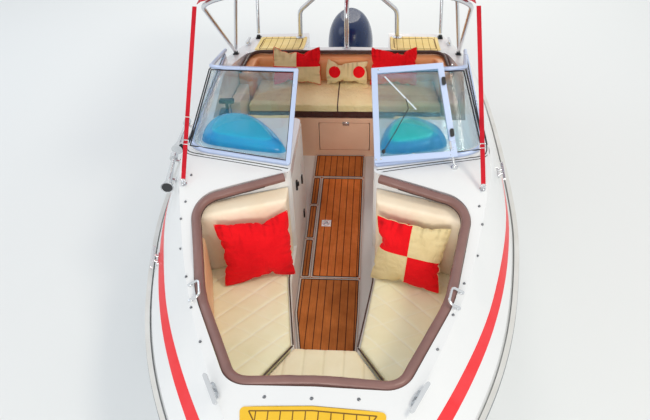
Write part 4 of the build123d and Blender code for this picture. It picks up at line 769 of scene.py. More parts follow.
# Door fittings: four rivets at its corners, a wiper whose thin arm starts at the lower corner, and on
# the deck the stay that holds the folded door, with a ball foot.
door_skin = skin_of("window_door")
RIVET = [(0.006, -0.0008), (0.006, 0.0008), (0.0045, 0.0024), (0.001, 0.003)]
RIVET_PLACES = (
    (0.252, -0.311, 1.077), (0.279, -0.307, 1.078), (0.463, -0.268, 1.09), (0.672, -0.222, 1.112),
    (0.255, 0.08, 1.43), (0.47, 0.12, 1.44), (0.68, 0.145, 1.43),
)
PANE_OUT = Vector((0.07, -0.67, 0.74)).normalized()  # the way the folded door's pane faces
rivets = []
for place in RIVET_PLACES:
    spot, normal = on_skin(door_skin, place)
    if normal.dot(PANE_OUT) < 0.5:
        spot, normal = Vector(place), PANE_OUT
    rivets.append(turned(RIVET, spot, normal, 16))
piece("door_rivets", rivets, polished_steel, "window_door")
glass_face = skin_of("window_door_glass")


def on_glass(place, off):
    """A point just in front of the folded door's pane."""
    return on_skin(glass_face, place)[0] + PANE_OUT * off


BLADE = ((0.291, 0.056, 1.397), (0.352, 0.012, 1.352), (0.414, -0.032, 1.306), (0.475, -0.076, 1.260))
ARM = ((0.414, -0.032, 1.306), (0.43, -0.08, 1.27), (0.36, -0.18, 1.18), (0.292, -0.268, 1.10))
WIPER_HUB = [(0.011, -0.012), (0.011, 0.004), (0.008, 0.008), (0.002, 0.009)]
blade = [on_glass(p, 0.009) for p in BLADE]
arm = [on_glass(p, 0.012) for p in ARM]
chrome_arm = finish("pale coated wiper steel", "DCE8F0", 0.35, 6, 0.02, 0.04, Metallic=0.2)
blade_parts = [rod(blade, 0.0045), rod([p - PANE_OUT * 0.004 for p in blade], 0.003)]
piece("wiper_blade", blade_parts, chrome_arm, "window_door")
arm_parts = [rod(arm, 0.0026), turned(WIPER_HUB, arm[-1], PANE_OUT, 20)]
piece("wiper_arm", arm_parts, black_nylon, "window_door")
STAY_FOOT = Vector((0.700, -0.283, 1.0))
STAY_TOP = Vector((0.668, -0.207, 1.135))
STAY_SOCKET = [(0.021, -0.001), (0.021, 0.003), (0.014, 0.006), (0.0135, 0.012), (0.011, 0.019), (0.004, 0.023)]
foot_spot, foot_normal = on_skin(deck_skin, STAY_FOOT)
stay_middle = foot_spot.lerp(STAY_TOP, 0.5) + Vector((0, -0.004, 0.004))
stay = rod([foot_spot + foot_normal * 0.012, stay_middle, STAY_TOP], 0.0075, 12)
stay_parts = [stay, turned(STAY_SOCKET, foot_spot, foot_normal)]
piece("door_stay", stay_parts, polished_steel, angle=60)

# Bow seat cushions: foam in cream vinyl, piped round the edge and quilted in diamonds by rows of pale
# thread; the centre one is sewn in lengthwise channels. Vinyl has a fine grain and a soft sheen.


def stitched(name, colour, other, roughness=0.46, thread_and_groove_shade=None):
    """Sewn cover vinyl or cloth: grain, a faint mottling, and a colour along its sewn lines: a pale thread where that
    colour is lighter, painted shade in the grooves where it is darker.
    """
    made = finish(name, colour, roughness, 1.8, 0.12, 0.14, other)
    sewn = add_node(made.node_tree, "Attribute", {"attribute_name": "sewn"})
    shades = {1: 0.25, 2: 0.95, 3: 0.0, 4: 0.75}
    amount = add_node(made.node_tree, "MapRange", shades, {0: (sewn, "Fac")})
    paint_over(made, (amount, 0), hex_colour(thread_and_groove_shade or other))
    return made


def bake(thing):
    """Apply an object's modifiers to its mesh."""
    graph = bpy.context.evaluated_depsgraph_get()
    done = bpy.data.meshes.new_from_object(thing.evaluated_get(graph))
    thing.modifiers.clear()
    thing.data = done


def puff(thing, limit, pressure=4.0, frames=20, stiff=15.0):
    """Swell a closed cover by cloth simulation, each point capped at a distance (0 for no cap)."""
    rest = [v.co.copy() for v in thing.data.vertices]
    cloth = thing.modifiers.new("cloth", "CLOTH")
    cloth.settings.quality = 4
    cloth.settings.mass = 0.15
    cloth.settings.tension_stiffness = stiff
    cloth.settings.compression_stiffness = stiff
    cloth.settings.bending_stiffness = 0.4
    cloth.settings.use_pressure = True
    cloth.settings.uniform_pressure_force = pressure
    cloth.settings.effector_weights.gravity = 0
    cloth.point_cache.frame_start = 1
    cloth.point_cache.frame_end = frames
    for step in range(1, frames + 1):
        bpy.context.scene.frame_set(step)
    bake(thing)
    bpy.context.scene.frame_set(1)
    for v, at in zip(thing.data.vertices, rest):
        step = v.co - at
        if limit and step.length > limit:
            v.co = at + step.normalized() * limit


CROWN_RUN = 0.045  # how far in from its edge a cushion's crown has nearly its full height
SEAM_END = 0.02  # sewn lines fade out this near the edge
UP, AHEAD_AND_UP = (0, 0, 1), (0, -1, 0.25)


def upholster(
    name, node, material, voxel, out=UP, crown=0.0, pull=0.0, lines=None, swell=0.008, wrinkle=0.0,
    rounds=4, cap=0.012
):
    """A padded cover in place of a node's solids.

    The solids are remeshed, rounded and, when swell is given, swollen by a pressure simulation capped at swell; then
    the side that faces the direction out is crowned, pulled in along the sewn lines and wrinkled. lines gives 0..1 for
    how near a point is to a sewn line."""
    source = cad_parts[node].data
    made = placed(name, source.copy())
    remesh = made.modifiers.new("even", "REMESH")
    remesh.mode = "VOXEL"
    remesh.voxel_size = voxel
    relax = made.modifiers.new("round", "SMOOTH")
    relax.factor = 0.5
    relax.iterations = rounds
    bake(made)
    if swell:
        puff(made, swell)
    points = [v.co.copy() for v in source.vertices]
    out = Vector(out).normalized()
    turns = [(list(f.vertices), f.normal.dot(out)) for f in source.polygons]
    face_tree = BVHTree.FromPolygons(points, [corners for corners, facing in turns if facing > 0.6])
    side_tree = BVHTree.FromPolygons(points, [corners for corners, facing in turns if abs(facing) < 0.6])
    mesh = made.data
    layer = mesh.attributes.new("sewn", "FLOAT", "POINT")
    normals = [v.normal.copy() for v in mesh.vertices]
    for v, normal in zip(mesh.vertices, normals):
        place = v.co.copy()
        near = face_tree.find_nearest(place)
        face_gap = (near[0] - place).length
        edge = side_tree.find_nearest(near[0])
        inner = edge[3] if edge[0] is not None else 0.1
        facing = max(0.0, normal.dot(out)) * max(0.0, 1 - face_gap / (cap + 0.02))
        rise = crown * (1 - math.exp(-inner / CROWN_RUN)) * facing
        near_line = lines(place) * facing * min(1.0, inner / SEAM_END) if lines else 0.0
        fold = wrinkle * noise.fractal(place * 11, 1.0, 2.2, 4) * (0.4 + 0.6 * facing)
        v.co = place + normal * (rise - pull * near_line + fold)
        layer.data[v.index].value = near_line
    mesh.update()
    mesh.materials.clear()
    mesh.materials.append(material)
    smooth(made, 70)
    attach(made, "boat")
    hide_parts(node)


QUILT_A, QUILT_B = 0.117, 0.130  # the two spacings of the diamonds' sewn lines
THREAD_REACH = 0.0065  # how far a seam draws the cover down on each side


def quilted(place):
    """How near a point is to a diamond's sewn line: strong diagonals, fainter cross lines."""
    side = 1 if place.x > 0 else -1
    x, y = -side * place.x, place.y
    first = (x * 0.73 - y * 0.685) / QUILT_A
    second = (x * 0.41 + y * 0.91) / QUILT_B
    a = abs(first - round(first)) * QUILT_A
    b = abs(second - round(second)) * QUILT_B
    return max(math.exp(-(a / THREAD_REACH) ** 2), 0.7 * math.exp(-(b / THREAD_REACH) ** 2))


CHANNEL = 0.105


def channelled(place):
    """How near a point is to a lengthwise sewn channel."""
    share = place.x / CHANNEL
    return 0.8 * math.exp(-((abs(share - round(share)) * CHANNEL) / 0.008) ** 2)


cream_vinyl = stitched("quilted cream vinyl", "FBF5D0", "F2E8B8", 0.46, "FFFDEA")
upholster(
    "bow_side_cushions_cover", "bow_side_cushions", cream_vinyl, 0.0068,
    crown=0.010, pull=0.0052, lines=quilted, wrinkle=0.0022, rounds=5,
)
# Its channels are painted a darker tan: painted shade in their grooves.
centre_vinyl = stitched("channelled cream vinyl", "FAF0CE", "E9DBAE", 0.46, "D0C094")
upholster(
    "bow_centre_cushion_cover", "bow_centre_cushion", centre_vinyl, 0.0068,
    crown=0.010, pull=0.006, lines=channelled, wrinkle=0.0035, rounds=5,
)
backrest_vinyl = stitched("smooth cream vinyl", "FBEED6", "F2D6B2", 0.44)
upholster(
    "bow_backrests_cover", "bow_backrests", backrest_vinyl, 0.0085, AHEAD_AND_UP,
    crown=0.012, wrinkle=0.003, rounds=5,
)
# The side pads are cream vinyl, coloured tan all over as painted shade: the shadow that lies on them.
painted_shade_cream_vinyl = stitched("cream vinyl with painted shade", "E9BE94", "D9A578", 0.44)
upholster(
    "bow_side_pads_cover", "bow_side_pads", painted_shade_cream_vinyl, 0.0085, AHEAD_AND_UP,
    swell=0.006, wrinkle=0.003, rounds=5,
)
dark_vinyl = finish("dark brown vinyl", "46302C", 0.42, 1.6, 0.1, 0.1)

# Bow coaming roll: foam rod in mauve-brown vinyl, pulled round the well under the deck's lip; the cover
# puckers a little in the bends and closes in a piped seam at its foot.
mauve_vinyl = stitched("mauve vinyl", "8A6660", "6F4F4B", 0.38)
upholster(
    "bow_roll_cover", "bow_bolster", mauve_vinyl, 0.0062,
    swell=0.0, wrinkle=0.0024, rounds=3, cap=0.004,
)
roll = skin_of("bow_bolster")
WELL = Vector((0, -1.05, 0.79))  # inside the well, at the roll's foot
BREAK = 0.16  # two found points further apart than this are on different sides of the passage
FIRST_ANGLE, SWEEP, LOOKS = -237, 294, 120  # degrees, round the well from the passage and back to it
SEAM_DROP = 0.012  # the piping lies this far under the roll's widest place
runs, last = [], None
for k in range(LOOKS + 1):
    a = math.radians(FIRST_ANGLE + SWEEP * k / LOOKS)
    way = Vector((math.cos(a) * 0.95, math.sin(a), 0)).normalized()
    hits = [roll.ray_cast(WELL + Vector((0, 0, RAY_STEP * m)), way)[0] for m in range(48)]
    hits = [hit for hit in hits if hit]
    if hits:
        nearest = min(hits, key=lambda hit: (hit.xy - WELL.xy).length)
        at, normal = on_skin(roll, nearest + way * 0.004 - Vector((0, 0, SEAM_DROP)))
        if not runs or (at + normal * 0.0012 - last).length > BREAK:
            runs.append([])
        last = at + normal * 0.0012
        runs[-1].append(last)
roll_piping = [rod(round_off(run, 0.015), 0.0032, 7) for run in runs if len(run) > 3]
piece("bow_roll_piping", roll_piping, dark_vinyl, angle=70)

# Dark piping closes the cushions' edges along the passage and where they meet.
PIPED_EDGES = (  # height, radius, and the edge's points
    (0.4615, 0.0045, ((0.247, -0.640), (0.244, -0.70), (0.209, -0.93), (0.174, -1.155))),
    (0.4605, 0.0048, ((0.176, -1.163), (0.30, -1.350), (0.42, -1.531), (0.512, -1.668))),
)
piping = []
for side in (1, -1):
    for height, radius, edge in PIPED_EDGES:
        piping.append(rod(round_off([(side * x, y, height) for x, y in edge], 0.02), radius, 8))
piece("cushion_piping", piping, dark_vinyl, angle=70)

# Pillows: cotton covers filled with fibre. The seams hold the edges, so the sides pull in and the
# corners stand out; the cloth puckers along its seams. Some are sewn from red and cream quarters.


THREADS = 160  # thread waves a metre at thread=1, about ten times coarser than real, so that they show


def fabric(name, colour, other, thread=1.6, roughness=0.85):
    """Woven cotton: a fine crossed thread, drawn a little coarser than it is so that it shows. Where a mesh marks the
    valleys of its folds, they are painted darker as painted shade.
    """
    made = finish(name, colour, roughness, 2.2, 0.25, 0.12, other, Specular_IOR_Level=0.15, Sheen_Weight=0.08)
    tree = made.node_tree
    relief = tree.nodes["Principled BSDF"].inputs["Normal"]
    bump = relief.links[0].from_node
    place = add_node(tree, "TexCoord")
    there, scale = {"Vector": (place, "Object")}, THREADS / thread
    warp = add_node(tree, "TexWave", {"Scale": scale, "bands_direction": "X"}, there)
    weft = add_node(tree, "TexWave", {"Scale": scale, "bands_direction": "Z"}, there)
    both = add_node(tree, "Math", {"operation": "ADD"}, {0: (warp, "Fac"), 1: (weft, "Fac")})
    # painted shade: a pillow's fold valleys are darkened towards half the other tone
    fold_shade_mask = add_node(tree, "Attribute", {"attribute_name": "fold"})
    depth = add_node(tree, "MapRange", {1: 0.5, 2: 1.0, 3: 0.0, 4: 0.6}, {0: (fold_shade_mask, "Fac")})
    paint_over(made, (depth, 0), tuple(0.5 * c for c in hex_colour(other)[:3]) + (1.0,))
    links = {"Height": (both, 0), "Normal": (bump, 0)}
    woven = add_node(tree, "Bump", {"Strength": 0.35, "Distance": 0.0003}, links)
    tree.links.new(woven.outputs[0], relief)
    return made


def crumple(material, scale, depth):
    """Soft creases of loose cover cloth, as relief under the finer grain that is there already."""
    tree = material.node_tree
    over = tree.nodes["Principled BSDF"].inputs["Normal"].links[0].from_node
    while over.inputs["Normal"].is_linked:
        over = over.inputs["Normal"].links[0].from_node
    there = {"Vector": (add_node(tree, "TexCoord"), "Object")}
    folds = add_node(tree, "TexNoise", {"Scale": scale, "Detail": 2.0, "Distortion": 1.6}, there)
    relief = add_node(tree, "Bump", {"Strength": 0.9, "Distance": depth}, {"Height": (folds, 0)})
    tree.links.new(relief.outputs[0], over.inputs["Normal"])


red_cotton = fabric("red cotton", "F4101C", "C80A18")
cream_cotton = fabric("cream cotton", "EBD9A8", "D8BF86")
crumple(red_cotton, 14, 0.010)
crumple(cream_cotton, 14, 0.010)
CELLS = 44  # squares along each side of a pillow's cover
TOP_GATHER, TOP_REACH = 0.0075, 0.07  # how deep the top seam's gathers are, and how far they run down
SIDE_GATHER, SIDE_REACH = 0.0045, 0.05
CREASE, FOLD_SHADE_DEPTH = 0.0045, 0.006  # height of the loose creases, and the depth at which a fold takes its full painted shade


def pillow(name, node, centre, size, lean, turn_by, quarters, piping, pressure=6.0, seed=1):
    """A filled pillow: two square layers sewn at their edge and blown up by simulation.

    quarters gives the materials of its lower left, lower right, upper left and upper right, as seen."""
    width, height, depth = size
    chance = random.Random(seed)
    points, faces, looks = [], [], []
    index = {}
    for layer in (0, 1):
        for j in range(CELLS + 1):
            for i in range(CELLS + 1):
                rim = i in (0, CELLS) or j in (0, CELLS)
                if layer and rim:
                    index[1, i, j] = index[0, i, j]
                    continue
                u, w = i / CELLS - 0.5, j / CELLS - 0.5
                bulge = (1 - (2 * abs(u)) ** 2.4) * (1 - (2 * abs(w)) ** 2.4)
                puffed = 0.5 * depth * (0.25 + 0.75 * bulge) * (0 if rim else 1) * (1 if layer else -1)
                flat = 0.35
                jitter = chance.uniform(-1, 1) * 0.0006
                index[layer, i, j] = len(points)
                # The sides bow out before the filling draws them in, most at the foot.
                wide = width * (1 + 0.07 * (1 - (2 * w) ** 2))
                tall = height * (1 + (0.10 if w < 0 else 0.03) * (1 - (2 * u) ** 2))
                points.append(Vector((u * wide, w * tall, puffed * flat + jitter)))
    for layer in (0, 1):
        for j in range(CELLS):
            for i in range(CELLS):
                ring = [index[layer, i + a, j + b] for a, b in ((0, 0), (1, 0), (1, 1), (0, 1))]
                faces.append(ring if layer else ring[::-1])
                looks.append((1 if i >= CELLS / 2 else 0) + (2 if j >= CELLS / 2 else 0))
    mesh = bpy.data.meshes.new(name)
    mesh.from_pydata(points, [], faces)
    made = placed(name, mesh)
    puff(made, 0.0, pressure, 26, 12.0)
    mesh = made.data
    low = [min(v.co[k] for v in mesh.vertices) for k in range(3)]
    high = [max(v.co[k] for v in mesh.vertices) for k in range(3)]
    for v in mesh.vertices:
        for k, wide in enumerate(size):
            v.co[k] = ((v.co[k] - low[k]) / (high[k] - low[k]) - 0.5) * wide
    used = list(dict.fromkeys(quarters))
    for quarter in used:
        mesh.materials.append(quarter)
    for face, look in zip(mesh.polygons, looks):
        face.material_index = used.index(quarters[look])
    fold_shade_layer = mesh.attributes.new("fold", "FLOAT", "POINT")
    for v in mesh.vertices:
        # Gathers: the cloth puckers where the seams draw it in, most along the top seam.
        to_top = max(0.0, 0.5 * height - v.co.y)
        to_side = max(0.0, 0.5 * width - abs(v.co.x))
        off_seam = min(1.0, abs(v.co.z) / (0.1 * depth))
        gather = TOP_GATHER * noise.noise((v.co.x * 55, v.co.y * 9, seed)) * math.exp(-to_top / TOP_REACH)
        gather += SIDE_GATHER * noise.noise((v.co.x * 9, v.co.y * 45, seed + 5)) * math.exp(-to_side / SIDE_REACH)
        slanted = Vector((v.co.x * 7 + v.co.y * 5, v.co.y * 9 - v.co.x * 4, seed))
        crease = CREASE * noise.fractal(slanted, 0.9, 2.1, 3)
        v.co.z += (gather + crease) * off_seam * (1 if v.co.z > 0 else -1)
        # Painted shade: the deeper a gather or crease, the darker its cloth is painted.
        fold_shade_layer.data[v.index].value = min(1.0, max(0.0, 0.5 - (gather + 0.25 * crease) / FOLD_SHADE_DEPTH))
    lean_by, turn_by = math.radians(lean), math.radians(turn_by)
    across = Vector((math.cos(turn_by), math.sin(turn_by), 0))
    ahead = Vector((math.sin(turn_by), -math.cos(turn_by), 0))
    out = ahead * math.cos(lean_by) + Vector((0, 0, math.sin(lean_by)))
    axes = Matrix((across, out.cross(across), out)).transposed()
    for v in mesh.vertices:
        v.co = Vector(centre) + axes @ v.co
    mesh.update()
    rim = [index[0, i, 0] for i in range(CELLS)] + [index[0, CELLS, j] for j in range(CELLS)]
    rim += [index[0, i, CELLS] for i in range(CELLS, 0, -1)] + [index[0, 0, j] for j in range(CELLS, 0, -1)]
    trim = [rod([mesh.vertices[i].co.copy() for i in rim], 0.0022, 6, True)]
    if len(used) > 1:
        middle = CELLS // 2
        for cross in ([index[1, i, middle] for i in range(CELLS + 1)], [index[1, middle, j] for j in range(CELLS + 1)]):
            trim.append(rod([mesh.vertices[i].co + out * 0.0004 for i in cross], 0.0009, 5))
    grow = made.modifiers.new("fine", "SUBSURF")
    grow.levels = 1
    bake(made)
    smooth(made, 80)
    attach(made, "boat")
    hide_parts(node)
    piece(name + "_piping", trim, piping, angle=80)
    return made


R, C = red_cotton, cream_cotton
BOW_SIZE, PILLOW_LEAN, SMALL_CENTRE = (0.420, 0.405, 0.090), 20, (0.010, 1.385, 0.699)
BOW_TURN = 17  # degrees; each bow pillow leans in its corner and faces the middle
pillow(
    "bow_pillow_starboard", "bow_pillows", (-0.430, -0.648, 0.672), BOW_SIZE, PILLOW_LEAN, BOW_TURN, (R, R, R, R), R,
    seed=3,
)
pillow(
    "bow_pillow_port", "bow_pillows", (0.445, -0.655, 0.672), BOW_SIZE, PILLOW_LEAN, -BOW_TURN, (C, R, R, C), C,
    seed=5,
)
pillow(
    "bench_pillow_starboard", "bench_pillows", (-0.390, 1.385, 0.748), (0.380, 0.300, 0.074), PILLOW_LEAN, 0,
    (R, C, C, R), R, seed=7,
)
small = pillow(
    "bench_pillow_middle", "bench_pillows", SMALL_CENTRE, (0.330, 0.200, 0.074), PILLOW_LEAN, 0, (C, C, C, C), C,
    seed=9,
)
pillow(
    "bench_pillow_port", "bench_pillows", (0.385, 1.385, 0.748), (0.370, 0.300, 0.074), PILLOW_LEAN, 0,
    (R, R, R, R), R, 7.0, seed=11,
)

# Two red cotton discs are sewn on the small pillow's front.
small_skin = skin_of(small)
PILLOW_OUT = Vector((0, -math.cos(math.radians(PILLOW_LEAN)), math.sin(math.radians(PILLOW_LEAN))))
PILLOW_UP = PILLOW_OUT.cross(Vector((1, 0, 0)))
DISC_RADIUS, DISC_SPACING, DISC_SIDES = 0.047, 0.098, 36
discs = []
for side in (-1, 1):
    middle = Vector(SMALL_CENTRE) + Vector((side * DISC_SPACING, 0, 0))
    points = []
    for r in range(8):
        for k in range(DISC_SIDES):
            a = 2 * math.pi * k / DISC_SIDES
            reach = DISC_RADIUS * min(r, 6) / 6
            near = middle + Vector((reach * math.cos(a), 0, 0)) + PILLOW_UP * reach * math.sin(a)
            hit = small_skin.ray_cast(near + PILLOW_OUT * 0.1, -PILLOW_OUT)[0] or near
            points.append(hit + PILLOW_OUT * (0.0016 if r < 7 else -0.001))
    discs.append((points, wrapped(DISC_SIDES, 8, first=False, last=False)))
piece("bench_pillow_discs", discs, red_cotton, angle=80)

# Stern bench: two loose foam cushions in wrinkled pale vinyl, a peach backrest under a dark padded roll,
# cream arms, and a blush gelcoat front with a steel latch.
# Its sewn-line colour, a dark brown, lies along the gap between the two cushions: painted shade.
bench_vinyl = stitched("wrinkled pale yellow vinyl", "FFF2BC", "F0D894", 0.46, "5A3A30")
BENCH_SPLIT, GAP_HALF = -0.050, 0.005  # where the cushions meet, and half the gap's width
WELT_TOP = 0.534
tree = bench_vinyl.node_tree
place = add_node(tree, "TexCoord")
split = add_node(tree, "SeparateXYZ", links={0: (place, "Object")})
low_band = add_node(tree, "Math", {"operation": "LESS_THAN", 1: WELT_TOP}, {0: (split, 2)})
off_gap = add_node(tree, "Math", {"operation": "SUBTRACT", 1: BENCH_SPLIT}, {0: (split, 0)})
from_gap = add_node(tree, "Math", {"operation": "ABSOLUTE"}, {0: (off_gap, 0)})
gap_painted_shade = add_node(tree, "Math", {"operation": "LESS_THAN", 1: GAP_HALF}, {0: (from_gap, 0)})
welt_and_gap_shade = add_node(tree, "Math", {"operation": "MAXIMUM"}, {0: (low_band, 0), 1: (gap_painted_shade, 0)})
paint_over(bench_vinyl, (welt_and_gap_shade, 0), hex_colour("4A2A28"))  # the dark welt at the foot, and painted shade in the gap between the cushions
crumple(bench_vinyl, 26, 0.012)


def split_in_two(place):
    """How near a point is to the gap between the two bench cushions."""
    return math.exp(-((place.x - BENCH_SPLIT) / 0.011) ** 2)


peach_vinyl = stitched("peach vinyl", "EEA870", "D68F56", 0.44)
BACK_OUT = (0, -1, 0.3)
upholster(
    "bench_cushions_cover", "bench_cushions", bench_vinyl, 0.0085,
    crown=0.008, pull=0.024, lines=split_in_two, swell=0.010, wrinkle=0.0075,
)
upholster(
    "bench_backrest_cover", "bench_backrest", peach_vinyl, 0.0095, BACK_OUT, crown=0.008, wrinkle=0.003
)
upholster(
    "bench_roll_cover", "bench_trim", dark_vinyl, 0.006,
    swell=0.0, wrinkle=0.001, rounds=2, cap=0.004,
)
upholster(
    "bench_arms_cover", "bench_arms", backrest_vinyl, 0.010, BACK_OUT, swell=0.0, wrinkle=0.002
)
blush_gelcoat = finish("blush gelcoat", "FBD0B4", 0.35, 40, 0.1, 0.12, "F0BC9C")
dress("bench_base", blush_gelcoat)
dress("bench_door", blush_gelcoat)
latch_spot = Vector((0.014, 1.050, 0.423))
LATCH_KNOB = [(0.013, 0.0), (0.013, 0.006), (0.010, 0.010), (0.003, 0.011)]
latch_plate = box_part((0.052, 0.004, 0.034), latch_spot + Vector((0, -0.0015, 0)))
latch_parts = [latch_plate, turned(LATCH_KNOB, latch_spot, (0, -1, 0))]
piece("bench_latch", latch_parts, polished_steel, "bench_door")

# Helm and passenger seats: moulded shells on pedestals with sewn pads.
# Its channels take the vinyl's darker tone: painted shade in their grooves.
seat_vinyl = stitched("pale yellow seat vinyl", "F2E394", "DCC670", 0.46)
upholster(
    "seat_covers", "seat_cushions", seat_vinyl, 0.0105,
    crown=0.008, pull=0.004, lines=channelled, wrinkle=0.002,
)
cast_alloy = finish("cast aluminium", "B9BDC0", 0.35, 3, 0.1, 0.1, Metallic=1.0)
dress("seat_pedestals", cast_alloy)

# Helm: black moulded wheel on a tilted hub, a throttle box, and a panel with chromed dials. The dial
# faces are black with pale ticks and a red needle; switches stand in a row beneath.
dress("steering_wheel", black_nylon, 50)
dress("throttle", black_nylon)
panel_skin = finish("textured black panel", "202226", 0.5, 1.2, 0.12, 0.08)
dress("instrument_panel", panel_skin)
panel = skin_of("instrument_panel")
dial_face = finish("black dial face", "0E0F12", 0.35, 2, 0.01, 0.05)
tick_white = finish("white printed ticks", "EDEDEA", 0.5, 2, 0.01, 0.04)
needle_red = finish("red needle", "D8202A", 0.4, 2, 0.01, 0.04)
DIALS = (  # place across and up, radius, and the needle's angle
    (-0.63, 0.862, 0.034, 210), (-0.54, 0.862, 0.034, 150), (-0.45, 0.862, 0.034, 250), (-0.69, 0.815, 0.019, 120),
    (-0.39, 0.815, 0.019, 60),
)
BEZEL = ((1.0, -0.0005), (1.0, 0.004), (0.93, 0.006), (0.88, 0.0045), (0.87, 0.002))  # share of the radius, height
HUB = ((0.1, 0.0026), (0.1, 0.0042), (0.05, 0.0046))


def on_panel(x, z):
    """A place on the panel's face, the way it faces, and the way down along it."""
    spot, normal = panel.ray_cast(Vector((x, 0.5, z)), Vector((0, -1, 0)))[:2]
    normal = normal if normal.y > 0 else -normal
    return spot, normal, normal.cross(Vector((1, 0, 0))).normalized()


def bar_on_dial(angle, out, length, width, thick, lift):
    """A flat bar on the dial being made, pointing away from its middle; lengths are shares of its radius."""
    a = math.radians(angle)
    way = Vector((-math.cos(a), 0, 0)) - below * math.sin(a)
    place = spot + way * radius * out + normal * lift
    return box_part((radius * length, radius * width, thick), place, (way, normal.cross(way), normal))


bezels, dials, ticks, needles = [], [], [], []
for x, z, radius, value in DIALS:
    spot, normal, below = on_panel(x, z)
    bezels.append(turned([(radius * share, rise) for share, rise in BEZEL], spot, normal, 40))
    dials.append(turned([(radius * 0.87, 0.0021), (radius * 0.6, 0.0026), (0.002, 0.0026)], spot, normal, 36))
    ticks += [bar_on_dial(-30 + 20 * k, 0.72, 0.16, 0.045, 0.0006, 0.0030) for k in range(13)]
    needles.append(bar_on_dial(value, 0.3, 0.7, 0.05, 0.0008, 0.0034))
    needles.append(turned([(radius * share, rise) for share, rise in HUB], spot, normal, 16))
piece("dial_bezels", bezels, polished_steel, angle=50)
piece("dial_faces", dials, dial_face)
piece("dial_ticks", ticks, tick_white)
piece("dial_needles", needles, needle_red)
SWITCH_HEIGHT, FIRST_SWITCH, SWITCH_SPACING = 0.808, -0.615, 0.03
switches = []
for k in range(6):
    spot, normal, below = on_panel(FIRST_SWITCH + SWITCH_SPACING * k, SWITCH_HEIGHT)
    axes = (Vector((1, 0, 0)), below, normal)
    switches.append(box_part((0.018, 0.026, 0.004), spot + normal * 0.001, axes))
    switches.append(box_part((0.012, 0.018, 0.007), spot + normal * 0.004 + below * 0.001, axes))
piece("panel_switches", switches, black_nylon)

# Canopy: one red canvas sheet sewn with hems and pockets round the bows. Between the bows it sags a
# little and its edges draw in.
canvas = fabric("red acrylic canvas", "C4202E", "A01824", 2.6, 0.8)
canopy_skin = skin_of("canopy")
lo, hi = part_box("canopy")
bow_places = []
for node in CANOPY_BOWS:
    top = [v.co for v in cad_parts[node].data.vertices if abs(v.co.x) < 0.3]
    crest = max(p.z for p in top)
    near = [p.y for p in top if p.z > crest - 0.03]
    bow_places.append(sum(near) / len(near))
bow_places.sort()
ROWS, COLUMNS = 84, 60
SHEET_THICK, SHEET_EDGE = 0.0035, 0.002  # the cloth with its hem's fold, and how far it stops short of the solid
PULL_IN, SAG, RIPPLE = 0.010, 0.014, 0.0018  # how far the sides draw in, and the cloth drops, between two bows
points, faces = [], []
across_half = hi[0] - SHEET_EDGE
for layer in (0, 1):
    for j in range(ROWS + 1):
        y = lo[1] + SHEET_EDGE + (hi[1] - lo[1] - 2 * SHEET_EDGE) * j / ROWS
        before = max([b for b in bow_places if b <= y] or [lo[1]])
        after = min([b for b in bow_places if b > y] or [hi[1]])
        between = (y - before) / max(0.05, after - before)
        sag = math.sin(math.pi * min(1, max(0, between))) if before > lo[1] and after < hi[1] else 0.0
        for i in range(COLUMNS + 1):
            share = 2 * i / COLUMNS - 1
            x = share * (across_half - PULL_IN * sag * abs(share) ** 3)
            hit = canopy_skin.ray_cast(Vector((x, y, 3.0)), DOWNWARD)[0]
            z = hit.z if hit else lo[2] + 0.03
            ripple = RIPPLE * noise.noise(Vector((x * 5, y * 9, 0.3))) * (0.4 + 0.6 * sag)
            drop = SAG * sag * (1 - 0.5 * abs(share)) - ripple
            points.append((x, y, z - drop - (SHEET_THICK if layer else 0)))
line = COLUMNS + 1
under = line * (ROWS + 1)  # the same place on the lower face
for j in range(ROWS):
    for i in range(COLUMNS):
        a = j * line + i
        faces.append((a, a + 1, a + line + 1, a + line))
        faces.append((a + under, a + line + under, a + line + 1 + under, a + 1 + under))
sides = [(j * line + i, (j + 1) * line + i) for j in range(ROWS) for i in (0, COLUMNS)]
ends = [(j * line + i, j * line + i + 1) for i in range(COLUMNS) for j in (0, ROWS)]
faces += [(a, b, b + under, a + under) for a, b in sides + ends]
canopy = piece("canopy_sheet", [(points, faces)], canvas, angle=60)
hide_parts("canopy")


canopy_cloth = BVHTree.FromPolygons([Vector(p) for p in points], faces)


def hem(path, width, thick=0.0012):
    """A folded hem laid on the sheet's upper face."""
    return strip_on(canopy_cloth, path, width, 0.0004, thick, 3, 0.03)


def cross_hem(y, short, width, thick=0.0012):
    """A hem or seam from side to side, a little short of the edges."""
    return hem([(x * (across_half - short), y, hi[2]) for x in (-1, -0.6, -0.2, 0.2, 0.6, 1)], width, thick)


HEM_WIDTH, HEM_INSET = 0.030, 0.018
hems = []
for side in (1, -1):
    along_side = [(side * (across_half - HEM_INSET), y, hi[2] - 0.14) for y in (lo[1] + 0.01, 0.8, 1.4, hi[1] - 0.01)]
    hems.append(hem(along_side, HEM_WIDTH))
for y in (lo[1] + HEM_INSET, hi[1] - HEM_INSET):
    hems.append(cross_hem(y, 0.01, HEM_WIDTH))
for bow in bow_places:
    for y in (bow - 0.024, bow + 0.024):
        if lo[1] + 0.03 < y < hi[1] - 0.03:
            hems.append(cross_hem(y, 0.03, 0.006, 0.0014))
hem_piece = piece("canopy_hems", hems, canvas, angle=60)

# Canopy straps: flat red webbing from the front edge down to eyes on the deck, each with a steel snap
# hook, a slide buckle and its doubled end. Webbing is woven, so its edges are ribbed.
webbing = fabric("red webbing", "D01E2E", "8E1422", 2.0, 0.7)
STRAP_HALF, STRAP_STEPS = 0.0125, 60
DOUBLED_AT, BUCKLE_AT, KNOT_AT = 0.13, 0.215, 0.36  # shares of the strap's length, from its foot
strap_parts, hook_parts, tie_parts = [], [], []
strap_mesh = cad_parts["canopy_straps"].data


def middle_of(places):
    """The middle of some places."""
    return sum(places, Vector()) / len(places)


